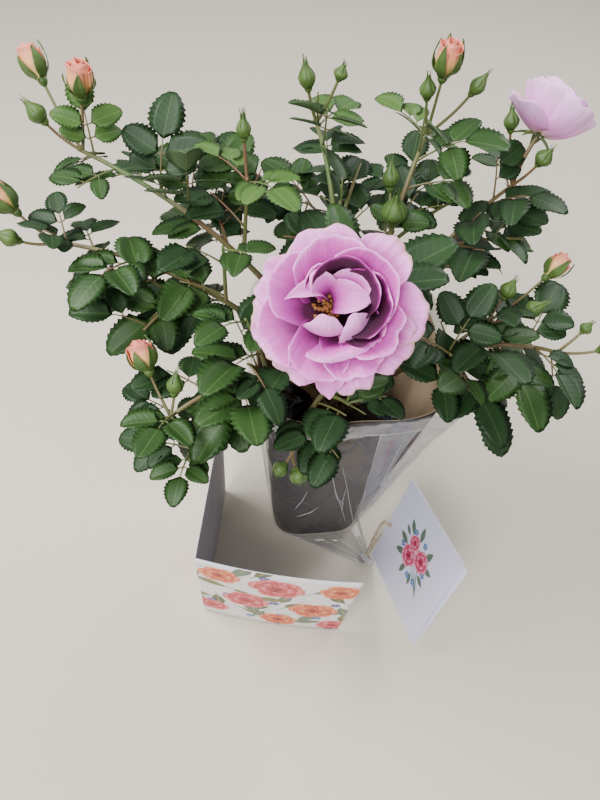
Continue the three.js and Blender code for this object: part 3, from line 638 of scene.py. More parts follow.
def card_place(length, height, lift):
    here = card_line(length)
    onward = card_line(length + 0.5) - card_line(length - 0.5)
    out = np.array([onward[1], -onward[0]]) / np.linalg.norm(onward)
    return np.array([*(here + out * lift), height])


card_face = add_grain(
    make_finish("coated board", (0.86, 0.84, 0.84), 0.42),
    (0.84, 0.82, 0.82), (0.88, 0.86, 0.87), 8, 500, 0.00005,
)
card_lining = add_grain(
    make_finish("board lining", (0.55, 0.54, 0.6), 0.6),
    (0.36, 0.34, 0.37), (0.42, 0.4, 0.43), 9, 500, 0.00005,
)
card_lengths = [
    *np.linspace(CARD_END, CARD_SIDE - FOLD_REACH, 24), CARD_SIDE,
    *np.linspace(CARD_SIDE + FOLD_REACH, CARD_SIDE + CARD_FRONT - CARD_END, 40),
]
card_grid = np.array([
    [card_place(length, height, -CARD_THICKNESS / 2 - 0.05) for length in card_lengths]
    for height in np.linspace(0, CARD_HEIGHT, 16)
])
make_piece(
    "wrap_card", [sheet_mesh(card_grid, CARD_THICKNESS)], [card_face, card_lining, card_face],
    ["card_wrap"],
)


# Print on the card: loose garden roses in coral and pink-red, with olive leaves and small blue flowers,
# laid down as thin flat shapes of ink one over the other.
INK_LIFT = 0.012
INK_LAYER = 0.001
INK_FOOT = 0.004
INK_SPECK = 0.05
FOLD_CRACK = 0.02
PRINT_END = CARD_END + 0.2
PRINT_MARGIN = 0.5
# A rose's rings of petals, each with its share of the radius, its count, its size and its two tones.
INK_RINGS = [
    (0.66, 6, 0.64, "pale", "mid"), (0.5, 5, 0.56, "mid", "deep"), (0.34, 5, 0.42, "pale", "deep"),
    (0.2, 4, 0.32, "mid", "dark"), (0.08, 3, 0.2, "deep", "dark"),
]
ink_colours = {
    "coral": (0.76, 0.13, 0.05), "peach": (0.9, 0.34, 0.16), "blush": (0.68, 0.07, 0.08),
    "red": (0.3, 0.01, 0.02), "coral_deep": (0.55, 0.05, 0.02), "rose": (0.5, 0.02, 0.05),
    "pink": (0.86, 0.24, 0.26), "olive": (0.2, 0.2, 0.07), "moss": (0.1, 0.13, 0.05),
    "grey_leaf": (0.13, 0.2, 0.15), "violet": (0.11, 0.1, 0.38), "blue": (0.1, 0.22, 0.55),
    "straw": (0.7, 0.5, 0.12), "cool_pink": (0.86, 0.3, 0.42), "magenta": (0.66, 0.05, 0.16),
    "crimson": (0.5, 0.03, 0.1), "wine": (0.26, 0.01, 0.04),
}
inks = {name: make_finish(f"{name} ink", colour, 0.5) for name, colour in ink_colours.items()}


# A place at a distance from another, and at a turn from the line along the print.
def off(centre, distance, turn):
    return (centre[0] + distance * math.cos(turn), centre[1] + distance * math.sin(turn))


# A rounded petal or leaf outline of ink, as points in the plane of the print.
def ink_drop(centre, length, width, turn, point=0.0, steps=14):
    drops = []
    for i in range(steps):
        step_turn = 2 * math.pi * i / steps
        along = math.cos(step_turn) * length / 2
        aside = math.sin(step_turn) * width / 2 * (1 - point * math.cos(step_turn) ** 2)
        drops.append(off(off(centre, along, turn), aside, turn + math.pi / 2))
    return drops


# A rose of ink, painted ring by ring. Each petal is a dark shape with a lighter one set off outwards.
def ink_rose(centre, radius, tones, draw):
    tone = dict(zip(("pale", "mid", "deep", "dark"), tones))
    shapes = []
    for ring, (reach, count, size, face, shade) in enumerate(INK_RINGS):
        for i in range(count):
            turn = 2 * math.pi * (i + 0.45 * ring) / count + draw.uniform(-0.2, 0.2)
            petal = size * radius * draw.uniform(0.9, 1.1)
            for colour, away, scale in ((shade, 0, 1), (face, 0.08, 0.86)):
                middle = off(centre, (reach + away) * radius, turn)
                shape = ink_drop(middle, petal * 0.8 * scale, petal * 1.3 * scale, turn)
                shapes.append((tone[colour], shape))
    shapes.append((tone["dark"], ink_drop(centre, radius * 0.12, radius * 0.18, 0.4)))
    return shapes


def ink_leaf(centre, length, turn, tone, rib):
    slim = ink_drop(centre, length * 0.86, length * 0.03, turn, steps=6)
    return [(tone, ink_drop(centre, length, length * 0.42, turn, 0.55)), (rib, slim)]


def ink_floret(centre, radius, tone, draw):
    shapes = []
    first = draw.uniform(0, 6)
    for i in range(5):
        turn = first + 2 * math.pi * i / 5
        petal = ink_drop(off(centre, 0.6 * radius, turn), radius * 0.9, radius * 0.75, turn, steps=8)
        shapes.append((tone, petal))
    shapes.append(("straw", ink_drop(centre, radius * 0.5, radius * 0.5, 0, steps=6)))
    return shapes


# The part of an outline that lies within a field of the print.
def cut_outline(outline, low, high):
    ring = [np.array(spot) for spot in outline]
    for axis in (0, 1):
        for limit, side in ((low[axis], 1), (high[axis], -1)):
            kept = []
            for here, after in zip(ring, ring[1:] + ring[:1]):
                inside = (here[axis] - limit) * side
                inside_after = (after[axis] - limit) * side
                if inside >= 0:
                    kept.append(here)
                if inside * inside_after < 0:
                    kept.append(here + (after - here) * inside / (inside - inside_after))
            ring = kept
    return ring


# Lays ink on a surface, layer over layer, cut to each flat field of the board. Place turns a point of the
# print and a lift into a point of the plant's frame.
def lay_ink(name, layers, place, fields):
    meshes = []
    tones = list(inks)
    for order, layer in enumerate(layers):
        lift = INK_LIFT + INK_LAYER * order
        for tone, outline in layer:
            for low, high in fields:
                ring = cut_outline(outline, low, high)
                count = len(ring)
                if count < 3 or np.ptp(ring, axis=0).min() < INK_SPECK:
                    continue
                middle = np.mean(ring, axis=0)
                vertices = [place(*spot, lift) for spot in [middle, *ring]]
                vertices += [place(*spot, INK_FOOT) for spot in [middle, *ring]]
                under = count + 1
                faces = []
                for i in range(1, count + 1):
                    following = i % count + 1
                    faces += [[0, i, following], [following, i, under + i, under + following]]
                    faces.append([under, under + following, under + i])
                uvs = [(0.5, 0.5)] * sum(len(face) for face in faces)
                meshes.append((np.array(vertices), faces, uvs, [tones.index(tone)] * len(faces)))
    make_piece(name, meshes, list(inks.values()), smooth=False)


# A random place on the flat board.
def card_spot(draw):
    return (draw.uniform(0, CARD_SIDE + CARD_FRONT), draw.uniform(0, CARD_HEIGHT))


draw = np.random.default_rng(21)
card_shapes = []
for i in range(58):
    spot = card_spot(draw)
    lean = draw.uniform(0, 6.3)
    card_shapes.append(("moss", ink_drop(spot, draw.uniform(40, 70), 1.3, lean)))
    card_shapes += ink_leaf(spot, draw.uniform(24, 40), lean, ("grey_leaf", "moss", "olive")[i % 3], "straw")
for i in range(30):
    card_shapes += ink_floret(card_spot(draw), draw.uniform(5, 7), ("violet", "blue")[i % 2], draw)
ROSE_TONES = {"coral": ("peach", "coral", "coral_deep", "red"), "red": ("pink", "blush", "rose", "red")}
# Each rose's place on the board, its radius and its kind.
card_roses = [
    (192, 170, 24, "coral"), (254, 158, 32, "red"), (322, 168, 25, "coral"), (222, 96, 29, "red"),
    (300, 88, 30, "coral"), (180, 44, 22, "red"), (262, 32, 25, "coral"), (330, 26, 22, "red"),
    (24, 150, 28, "coral"), (86, 172, 25, "red"), (134, 110, 30, "coral"), (60, 74, 27, "red"),
    (118, 34, 24, "coral"),
]
painted_roses = [ink_rose((x, y), radius, ROSE_TONES[kind], draw) for x, y, radius, kind in card_roses]
card_fields = [
    ((start, PRINT_MARGIN), (end, CARD_HEIGHT - PRINT_MARGIN))
    for start, end in (
        (PRINT_END, CARD_SIDE - FOLD_CRACK), (CARD_SIDE + FOLD_CRACK, CARD_SIDE + CARD_FRONT - PRINT_END)
    )
]
lay_ink("wrap_print", [*([shape] for shape in card_shapes), *zip(*painted_roses)], card_place, card_fields)


# Tag: a square of board folded once, standing on its lower left corner and leaning on the film. Both leaves
# are the CAD's own plates. A hole near the fold takes the twine.
TAG_SIDE = 138
TAG_CORNER = np.array([90.0, -78.0, 3.0])
TAG_HOLE = (63.48, 8.0)
TAG_MARGIN = 2
TAG_PRINT_MIDDLE = 72
TAG_PRINT_SCALE = 1.16


def polar(azimuth, reach, height):
    turn = math.radians(azimuth)
    return np.array([reach * math.cos(turn), reach * math.sin(turn), height])


def direction(azimuth, elevation):
    lift = math.radians(elevation)
    return polar(azimuth, math.cos(lift), math.sin(lift))


tag_board = add_grain(
    make_finish("tag board", (0.84, 0.84, 0.86), 0.5),
    (0.78, 0.77, 0.96), (0.83, 0.82, 1.0), 10, 600, 0.00005,
)
dress("tag_front", tag_board)
dress("tag_back", tag_board)
tag_fold = direction(66, 61)
tag_edge = direction(-68, 22.5)
tag_edge = unit(tag_edge - tag_edge @ tag_fold * tag_fold)
tag_behind = np.cross(tag_fold, tag_edge)


def tag_place(along, out, behind):
    return TAG_CORNER + tag_fold * along + tag_edge * out + tag_behind * behind


# Print on the tag: a small tied bunch of three pink roses with blue florets and grey-green leaves, laid down
# as flat shapes of ink like the card's.
draw = np.random.default_rng(33)
bunch_shapes = []
for x, lean in ((-4, 0.16), (0, 0), (4, -0.16)):
    bunch_shapes.append(("grey_leaf", ink_drop((x * 0.6, -24), 34, 1.5, math.pi / 2 + lean)))
for x, y, length, turn in (
    (-25, 8, 19, 2.8), (25, 2, 19, 0.4), (-17, 22, 18, 2.2), (16, 24, 18, 1.0), (-22, -10, 16, 3.7),
    (22, -12, 16, -0.6), (0, 33, 17, 1.6), (-9, 30, 13, 1.9), (9, -22, 14, -1.1), (-10, -21, 14, 4.2),
):
    bunch_shapes += ink_leaf((x, y), length, turn, "grey_leaf", "moss")
for x, y in ((-20, 16), (20, 13), (-13, -17), (14, -16), (5, 27), (-3, -24)):
    bunch_shapes += ink_floret((x, y), 4.0, "blue", draw)
for x, y, radius in ((-10, 3, 14), (12, -3, 13), (2, 16, 10)):
    bunch_shapes += ink_rose((x, y), radius, ("cool_pink", "magenta", "crimson", "wine"), draw)


# The bunch stands on the tag's diagonal, so its own upright and level lines lie at a slant on the board.
def on_tag(outline):
    slant = TAG_PRINT_SCALE * math.sqrt(0.5)
    return [(TAG_PRINT_MIDDLE + (x + y) * slant, TAG_PRINT_MIDDLE + (x - y) * slant) for x, y in outline]


lay_ink(
    "tag_print", [[(tone, on_tag(outline))] for tone, outline in bunch_shapes],
    lambda along, out, lift: tag_place(along, out, -lift),
    [((TAG_MARGIN, TAG_MARGIN), (TAG_SIDE - TAG_MARGIN, TAG_SIDE - TAG_MARGIN))],
)


# Twine: two strands of jute laid up together, knotted on the film's corner, taken up behind the tag,
# through its hole and down in front.
STRAND_RADIUS = 1.3
STRAND_OFFSET = 1.05
TWINE_LAY = 5.2
TWINE_STEPS = 260
KNOT_RADIUS = 2.1
KNOT_STRAND = 0.95


# The value at a mark on the line that has one value at its start and another at its end.
def part_way(low, high, start, end, mark):
    return low * (end - mark) / (end - start) + high * (mark - start) / (end - start)


# A smooth curve through stops, sampled at count points, with no overshoot where the stops are uneven.
def smooth_route(points, count):
    points = np.array(points)
    chords = np.linalg.norm(np.diff(points, axis=0), axis=1) ** 0.5
    knots = np.concatenate([[0], np.cumsum(chords)])
    padded = np.vstack([2 * points[0] - points[1], points, 2 * points[-1] - points[-2]])
    marks = np.concatenate([[-chords[0]], knots, [knots[-1] + chords[-1]]])
    route = []
    for t in np.linspace(0, knots[-1], count):
        k = min(len(points) - 2, int(np.searchsorted(knots, t, side="right")) - 1)
        p = padded[k:k + 4]
        m = marks[k:k + 4]
        a = [part_way(p[i], p[i + 1], m[i], m[i + 1], t) for i in range(3)]
        b = [part_way(a[i], a[i + 1], m[i], m[i + 2], t) for i in range(2)]
        route.append(part_way(b[0], b[1], m[1], m[2], t))
    return np.array(route)


jute = add_grain(
    make_finish("jute", (0.52, 0.43, 0.3), 0.9), (0.36, 0.28, 0.19), (0.7, 0.6, 0.45), 300, 900, 0.0003
)
twine_knot = polar(END_AZIMUTH, END_LENGTH - 4, 5)
# The twine's stops along the tag's fold, along its free edge and behind it, from the middle of the hole.
twine_stops = [
    (-34, -14, 5), (-10, -7, 7), (-2, -1, 5.5), (0, 0, 1), (-1, -1, -3.2), (-3, -9, -4.2), (-24, -16, -2)
]
twine_places = [tag_place(TAG_HOLE[0] + a, TAG_HOLE[1] + b, c) for a, b, c in twine_stops]
twine_route = smooth_route([twine_knot, *twine_places, twine_knot], TWINE_STEPS)
twine_lengths = np.concatenate([[0], np.cumsum(np.linalg.norm(np.diff(twine_route, axis=0), axis=1))])
twine_meshes = []
for strand in (0, math.pi):
    laid = []
    for place, length, (first, second) in zip(twine_route, twine_lengths, path_frames(twine_route)):
        turn = strand + 2 * math.pi * length / TWINE_LAY
        laid.append(place + STRAND_OFFSET * (math.cos(turn) * first + math.sin(turn) * second))
    twine_meshes.append(tube_mesh(laid, STRAND_RADIUS, 6))
for tilt in (0.2, 1.3, 2.4):
    turns = 2 * math.pi * np.arange(22) / 20
    across = np.cos(turns)
    loop = np.column_stack([across * math.cos(tilt), across * math.sin(tilt), 0.9 * np.sin(turns)])
    twine_meshes.append(tube_mesh(twine_knot + KNOT_RADIUS * loop, KNOT_STRAND, 6))
make_piece("tie_twine", twine_meshes, [jute], ["twine"])


# Graft: the swollen knuckle of old wood that the bush was budded on, cut flat where it meets the compost. Its
# rough bark runs up it in low ridges.
GRAFT_FOOT = 188.3
GRAFT_MIDDLE = 222
GRAFT_RADIUS = 22

bark = add_grain(
    make_finish("old bark", (0.13, 0.075, 0.045), 0.85),
    (0.07, 0.04, 0.025), (0.2, 0.13, 0.085), 120, 500, 0.0008, (1, 1, 0.35),
)
# The knuckle's radius at each height.
graft_profile = [
    (15, GRAFT_FOOT), (12, GRAFT_FOOT + 5), (11.5, GRAFT_FOOT + 9), (17, 209), (20.5, 215),
    (21.6, GRAFT_MIDDLE), (20.6, 229), (17.6, 234.6), (12, 240), (5, 243.4),
]
graft_radii, graft_heights = np.array(graft_profile).T
turns = np.linspace(0, 2 * math.pi, 40, endpoint=False)
graft_swell = 0.05 * np.sin(5 * turns[None, :] + 0.2 * graft_heights[:, None])
graft_swell += 0.03 * np.sin(11 * turns[None, :] - 0.35 * graft_heights[:, None]) - 0.07
graft_path = [(0, 0, height) for height in graft_heights]
make_piece("graft", [tube_mesh(graft_path, graft_radii, len(turns), graft_swell)], [bark], ["trunk"])


# Canes: nine tapering limbs of two-year wood that leave the graft and arch out, brown below and greener
# above, with hooked prickles. Each ends where it enters its mass of foliage.
CANE_FOOT_RADIUS = 4.6
CANE_FORK_RADIUS = 2.8
CANE_SLIMMED = 0.97
CANE_SIDES = 14
CANE_KNOTS = 4
CANE_LEAN = 18
CANE_CLIMB = 0.42
CANE_ARCH_FROM = 0.88
CANE_PRICKLES = 9
GRAFT_FLATS = 0.962
CLEAR = 0.3
LAST_SHARE = 0.9999
UP = np.array([0.0, 0.0, 1.0])
STEM_STEPS = 5
TWIG_STEPS = 3
STEM_RADII = (2.7, 1.7)
TWIG_RADII = (2.0, 1.3)

# Each mass: foot is its cane's azimuth and lean on the graft. Tip and the ends of twigs are azimuth, reach
# and height. A twig also has its share of the stem and its count of leaves. A bud has its limb's number,
# the place of its middle, its length and its width.
MASSES = [
    dict(name="left_back", seed=11, foot=(148, 42), tip=(167, 258, 480), arch=6, fork=0.52, leaves=6,
         twigs=[(0.08, (160, 112, 492), 4), (0.2, (150, 168, 425), 4)],
         buds=[(0, (161, 308, 522), 33, 19), (0, (164, 252, 532), 33, 20), (0, (168, 287, 508), 26, 15),
               (1, (156, 121, 528), 24, 11)]),
    dict(name="left", seed=23, foot=(197, 42), tip=(181, 262, 432), arch=26, fork=0.55, leaves=6,
         twigs=[(0.06, (182, 118, 455), 4), (0.25, (198, 186, 398), 4)],
         buds=[(0, (179, 299, 460), 31, 19), (0, (184, 293, 446), 25, 14)]),
    dict(name="left_front", seed=37, foot=(236, 42), tip=(221, 190, 372), arch=56, fork=0.58, leaves=4,
         twigs=[(0.04, (204, 102, 414), 4), (0.1, (225, 118, 408), 4), (0.4, (229, 188, 348), 3)],
         buds=[(0, (208, 190, 402), 32, 20), (0, (215, 172, 388), 25, 14)]),
    dict(name="front", seed=41, foot=(272, 42), tip=(253, 132, 340), arch=90, fork=0.58, leaves=4,
         twigs=[(0.1, (272, 92, 384), 3)],
         buds=[(0, (251, 141, 330), 15, 13), (0, (258, 139, 328), 17, 16)]),
    dict(name="centre", seed=53, foot=(270, 74), tip=(258, 66, 466), arch=4, fork=0.6, leaves=5,
         twigs=[(0.1, (66, 52, 452), 5), (0.15, (135, 72, 455), 4)],
         buds=[(1, (82, 74, 488), 28, 14), (1, (68, 44, 480), 36, 21)]),
    dict(name="back", seed=67, foot=(140, 74), tip=(122, 112, 515), arch=4, fork=0.52, leaves=6,
         twigs=[(0.12, (97, 118, 465), 5), (0.05, (114, 150, 398), 5)],
         buds=[(0, (126, 118, 549), 27, 13), (0, (113, 110, 552), 15, 11)]),
    dict(name="back_right", seed=71, foot=(30, 74), tip=(73, 132, 500), arch=4, fork=0.52, leaves=5,
         twigs=[(0.1, (76, 160, 415), 5), (0.1, (54, 132, 448), 4)],
         buds=[(0, (73, 129, 560), 34, 20), (0, (77, 124, 540), 25, 13), (0, (61, 139, 548), 25, 12)]),
    dict(name="right_back", seed=83, foot=(54, 42), tip=(44, 180, 462), arch=10, fork=0.52, leaves=5,
         twigs=[(0.06, (28, 112, 425), 5), (0.3, (33, 182, 422), 4)],
         buds=[(0, (53, 182, 510), 25, 13), (0, (40, 186, 496), 23, 15)]),
    dict(name="right", seed=97, foot=(-22, 42), tip=(-3, 188, 392), arch=34, fork=0.55, leaves=5,
         twigs=[(0.08, (5, 122, 398), 4), (0.15, (-28, 122, 380), 4), (0.04, (-30, 94, 412), 3)],
         buds=[(0, (2, 204, 412), 15, 11), (0, (-2, 222, 404), 16, 11), (1, (18, 182, 430), 30, 18),
               (1, (13, 136, 422), 24, 15), (1, (7, 160, 414), 26, 15)]),
]


# A Bezier curve through its first and last points, as a function of the share along it.
def bezier(*stops):
    stops = [np.asarray(stop, float) for stop in stops]

    def at(t):
        line = stops
        while len(line) > 1:
            line = [a + (b - a) * t for a, b in zip(line, line[1:])]
        return line[0]

    return at


def tangent(curve, t):
    return unit(curve(min(1, t + 1e-4)) - curve(max(0, t - 1e-4)))


# The point at a share of a limb whose solid is made of straight steps.
def facet_point(curve, start, steps, share):
    local = min(LAST_SHARE, (share - start) / (1 - start)) * steps
    step = math.floor(local)
    low = curve(start + (1 - start) * step / steps)
    high = curve(start + (1 - start) * (step + 1) / steps)
    return low + (high - low) * (local - step)


# The main curve of a mass carries its cane up to the fork and its stem beyond. Twigs start on the stem.
def grow_curves(mass):
    tip = polar(*mass["tip"])
    lean = direction(*mass["foot"])
    climb = lean * CANE_LEAN + UP * CANE_CLIMB * (tip[2] - GRAFT_MIDDLE)
    tilt = np.linalg.norm(np.cross(unit(climb), lean))
    foot = UP * GRAFT_MIDDLE + lean * (GRAFT_RADIUS * GRAFT_FLATS + CLEAR + CANE_FOOT_RADIUS * tilt)
    over_height = foot[2] + CANE_ARCH_FROM * (tip[2] - foot[2]) + mass["arch"]
    main = bezier(foot, foot + climb, [0.5 * tip[0], 0.5 * tip[1], over_height], tip)
    fork = mass["fork"]
    stem = dict(curve=main, start=fork, tip=tip, leaves=mass["leaves"], steps=STEM_STEPS, radii=STEM_RADII)
    curves = [stem]
    for share, end, leaves in mass["twigs"]:
        start = facet_point(main, fork, STEM_STEPS, fork + (1 - fork) * share)
        end = polar(*end)
        twig = bezier(start, (start + end) / 2 + UP * 0.12 * np.linalg.norm(end - start), end)
        curves.append(dict(curve=twig, start=0, tip=end, leaves=leaves, steps=TWIG_STEPS, radii=TWIG_RADII))
    return curves


def cane_radius(share):
    return CANE_FOOT_RADIUS + (CANE_FORK_RADIUS - CANE_FOOT_RADIUS) * share


for mass in MASSES:
    mass["curves"] = grow_curves(mass)
cane_bark = add_grain(
    make_finish("cane bark", (0.14, 0.1, 0.05), 0.6),
    (0.1, 0.055, 0.03), (0.15, 0.13, 0.05), 40, 420, 0.0004, (1, 1, 0.4),
)
draw = np.random.default_rng(52)
cane_meshes = []
prickle_spots = []
for mass in MASSES:
    curve = mass["curves"][0]["curve"]
    shares = np.linspace(0, mass["fork"] - 0.001, 44)
    path = np.array([curve(t) for t in shares])
    lengths = np.linspace(0, 1, len(path))
    turns = np.linspace(0, 2 * math.pi, CANE_SIDES, endpoint=False)
    knobs = np.array([0.05 * math.exp(-((x * CANE_KNOTS) % 1 - 0.5) ** 2 / 0.01) for x in lengths])
    ridges = 0.03 * np.sin(3 * turns[None, :] + 9 * lengths[:, None]) + knobs[:, None]
    cane_meshes.append(tube_mesh(path, cane_radius(lengths) * CANE_SLIMMED, CANE_SIDES, ridges))
    for t in np.linspace(0.12, mass["fork"] * 0.96, CANE_PRICKLES):
        along = tangent(curve, t)
        side = unit(np.cross(along, unit(draw.normal(size=3))))
        prickle = curve(t) + side * cane_radius(t / mass["fork"]) * 0.8
        prickle_spots.append((prickle, side, along, draw.uniform(0.75, 1.15)))
make_piece("canes", cane_meshes, [cane_bark], [f"cane_{mass['name']}" for mass in MASSES])


# Prickles: small hooked thorns scattered up the canes. They are all one form, set on its spots by a tree of
# nodes that also sets the leaflets and the stamens.
PRICKLE_SIDES = 8
# A prickle's rings, each by its drop, its height and its half widths across and along the cane.
PRICKLE_RINGS = [(0, 0, 1, 1.8), (-0.15, 0.9, 0.6, 1.1), (-0.5, 2.1, 0.34, 0.5), (-1.1, 3.2, 0.05, 0.05)]


# The tree sets forms on points by their turn, size and form number, then makes them real. The forms' faces
# marked as under take the second finish.
def instancing_tree():
    tree = bpy.data.node_groups.new("Set forms on points", "GeometryNodeTree")
    for socket, kind in (
        ("Points", "Geometry"), ("Forms", "Collection"), ("Finish", "Material"), ("Under finish", "Material"),
    ):
        tree.interface.new_socket(socket, in_out="INPUT", socket_type=f"NodeSocket{kind}")
    tree.interface.new_socket("Geometry", in_out="OUTPUT", socket_type="NodeSocketGeometry")

    def attribute(name, kind):
        node = add_node(tree, "GeometryNodeInputNamedAttribute", settings={"data_type": kind}, Name=name)
        return node.outputs["Attribute"]

    given = add_node(tree, "NodeGroupInput").outputs
    forms = add_node(
        tree, "GeometryNodeCollectionInfo", Collection=given["Forms"], Separate_Children=True,
        Reset_Children=True,
    )
    turn = add_node(tree, "FunctionNodeEulerToRotation", Euler=attribute("turn", "FLOAT_VECTOR"))
    spread = add_node(
        tree, "GeometryNodeInstanceOnPoints", Points=given["Points"], Instance=forms.outputs["Instances"],
        Pick_Instance=True, Instance_Index=attribute("form", "INT"), Rotation=turn.outputs["Rotation"],
        Scale=attribute("size", "FLOAT_VECTOR"),
    )
    real = add_node(tree, "GeometryNodeRealizeInstances", Geometry=spread.outputs["Instances"])
    first = add_node(
        tree, "GeometryNodeSetMaterial", Geometry=real.outputs["Geometry"], Material=given["Finish"]
    )
    second = add_node(
        tree, "GeometryNodeSetMaterial", Geometry=first.outputs["Geometry"], Material=given["Under finish"],
        Selection=attribute("under", "BOOLEAN"),
    )
    add_node(tree, "NodeGroupOutput", Geometry=second.outputs["Geometry"])
    return tree


forms_on_points = instancing_tree()


# Sets forms on spots as one piece. A spot is its place, its three axes as columns, its size in millimetres
# along them and its form number.
def set_forms(name, forms, spots, finish, under_finish):
    collection = bpy.data.collections.new(f"{name} forms")
    for number, (vertices, faces, uvs, sides) in enumerate(forms):
        form = bpy.data.meshes.new(f"{name} form {number:02d}")
        form.from_pydata(np.asarray(vertices).tolist(), [], faces)
        form.polygons.foreach_set("use_smooth", [True] * len(faces))
        form.uv_layers.new(name="UVMap").data.foreach_set("uv", np.array(uvs, np.float32).ravel())
        under = form.attributes.new("under", "BOOLEAN", "FACE")
        under.data.foreach_set("value", [side == 1 for side in sides])
        collection.objects.link(bpy.data.objects.new(form.name, form))
    mesh = bpy.data.meshes.new(name)
    mesh.from_pydata([tuple(place * MM) for place, _, _, _ in spots], [], [])
    turns = [Matrix(axes.tolist()).to_euler("XYZ") for _, axes, _, _ in spots]
    sizes = [np.array(size) * MM for _, _, size, _ in spots]
    numbers = [number for _, _, _, number in spots]
    for label, kind, channel, values in (
        ("turn", "FLOAT_VECTOR", "vector", np.array(turns, float).ravel()),
        ("size", "FLOAT_VECTOR", "vector", np.array(sizes, float).ravel()), ("form", "INT", "value", numbers),
    ):
        mesh.attributes.new(label, kind, "POINT").data.foreach_set(channel, values)
    made = add_object(name, mesh)
    modifier = made.modifiers.new("forms", "NODES")
    modifier.node_group = forms_on_points
    given = {"Forms": collection, "Finish": finish, "Under finish": under_finish}
    for item in forms_on_points.interface.items_tree:
        if item.in_out == "INPUT" and item.name in given:
            modifier[item.identifier] = given[item.name]
    bpy.context.view_layer.update()
    real = bpy.data.meshes.new_from_object(made.evaluated_get(bpy.context.evaluated_depsgraph_get()))
    made.modifiers.clear()
    made.data = real
    real.name = name
    for form in list(collection.objects):
        bpy.data.objects.remove(form)
    bpy.data.collections.remove(collection)
    set_piece(made)


prickle_vertices = []
for drop, height, wide, tall in PRICKLE_RINGS:
    for j in range(PRICKLE_SIDES):
        turn = 2 * math.pi * j / PRICKLE_SIDES
        prickle_vertices.append((wide * math.cos(turn), drop + tall * math.sin(turn), height))
prickle_faces = []
for low in range(0, PRICKLE_SIDES * (len(PRICKLE_RINGS) - 1), PRICKLE_SIDES):
    high = low + PRICKLE_SIDES
    for j in range(PRICKLE_SIDES):
        k = (j + 1) % PRICKLE_SIDES
        prickle_faces.append([low + j, low + k, high + k, high + j])
prickle_faces += [list(range(PRICKLE_SIDES))[::-1], [high + j for j in range(PRICKLE_SIDES)]]
prickle_uvs = [(0.5, 0.5)] * sum(len(face) for face in prickle_faces)
prickle_form = (prickle_vertices, prickle_faces, prickle_uvs, [0] * len(prickle_faces))
prickle_finish = make_finish("prickle", (0.2, 0.07, 0.04), 0.5)
set_forms(
    "prickles", [prickle_form],
    [
        (place, np.stack([np.cross(along, side), along, side], axis=1), (size, size, size), 0)
        for place, side, along, size in prickle_spots
    ],
    prickle_finish, prickle_finish,
)


# Stems and leaf stalks: each cane forks into a green stem and twigs that bear compound leaves of two pairs
# of leaflets and an end one. They follow the rule that set the solids, leaf for leaf, then fill in between.
LEAFLET_LENGTH = 45
LEAFLET_WIDTH = 0.76
LEAFLET_WIDEST = 0.44
LEAFLETS_APART = 25
FILLERS_APART = 19
LEAF_TURN = 2.4
LEAF_TRIES = 4
LEAF_TRY_TURN = 1.5
FILLER_TRIES = 5
FILLER_START = 1.2
FILLER_TRY_TURN = 1.26
RACHIS_LENGTHS = (42, 58)
CLEAR_OF_LIMB = 4
CLEAR_OF_MASS = 1.2
CLEAR_OF_BLOOM = 6
CLEAR_OF_SLEEVE = 5
CLEAR_OF_RIM = 9
BLOOM_DEPTH = 0.62
BUD_INSET = 4
SIGHT_BEHIND = 8
SIGHT_BEFORE = 120
SIGHT_HALF = 21
BARE_RIGHT = 62
BARE_FRONT = -98
PETIOLULE = 3.2
LIMB_SINK = 0.012
RULE_FACTOR = 16807
RULE_RANGE = 2147483647
LEAF_SEED = 7919
FILLER_SEED = 104729
SPINE_POINTS = 10
CANE_POINTS = 24
FEWEST_LEAFLETS = 2
FEWEST_FILLERS = 3
LOW_MASSES = ("front", "left_front")
HIP_DROP = 0.34
# Each leaflet by its share along the stalk, its side and its size.
LEAFLETS = [(0.45, -1, 0.78), (0.47, 1, 0.8), (0.76, -1, 0.94), (0.78, 1, 0.92), (0.98, 0, 1.1)]
BLOOMS = [
    dict(name="main", mass="centre", at=(-103, 98, 500), face=(-97, 49), radius=60),
    dict(name="side", mass="right_back", at=(46, 203, 513), face=(50, 50), radius=39),
]
for bloom in BLOOMS:
    bloom["centre"] = polar(*bloom["at"])
    bloom["look"] = direction(*bloom["face"])


# The same whole-number rule gives the same growth every time.
def seeded(seed):
    state = seed

    def between(low, high):
        nonlocal state
        state = state * RULE_FACTOR % RULE_RANGE
        return low + (high - low) * state / RULE_RANGE

    return between


def spaced(curve, start, count):
    return [curve(start + (1 - start) * i / count) for i in range(count + 1)]


def below_tip(limb):
    return limb["tip"] - BUD_INSET * tangent(limb["curve"], 1)


# A bud of a mass, whose stalk starts just under the tip of its limb.
def place_bud(mass, twig, at, length, width):
    middle = polar(*at)
    start = below_tip(mass["curves"][twig])
    along = unit(unit(middle - start) + 0.35 * UP)
    return dict(start=start, along=along, base=middle - along * length / 2, length=length, width=width)


for mass in MASSES:
    mass["placed"] = [place_bud(mass, *bud) for bud in mass["buds"]]
    spine = []
    for limb in mass["curves"]:
        spine += spaced(limb["curve"], limb["start"], SPINE_POINTS)
    for bud in mass["placed"]:
        spine += [bud["base"], bud["base"] + bud["along"] * bud["length"] / 2]
    mass["spine"] = np.array(spine)
    cane = spaced(mass["curves"][0]["curve"], 0, CANE_POINTS)
    mass["cane"] = np.array(cane[:math.ceil(CANE_POINTS * mass["fork"]) + 1])


# Each point's distance to the nearest of the places.
def nearest(points, places):
    return np.linalg.norm(points[:, None, :] - places[None, :, :], axis=2).min(axis=1)


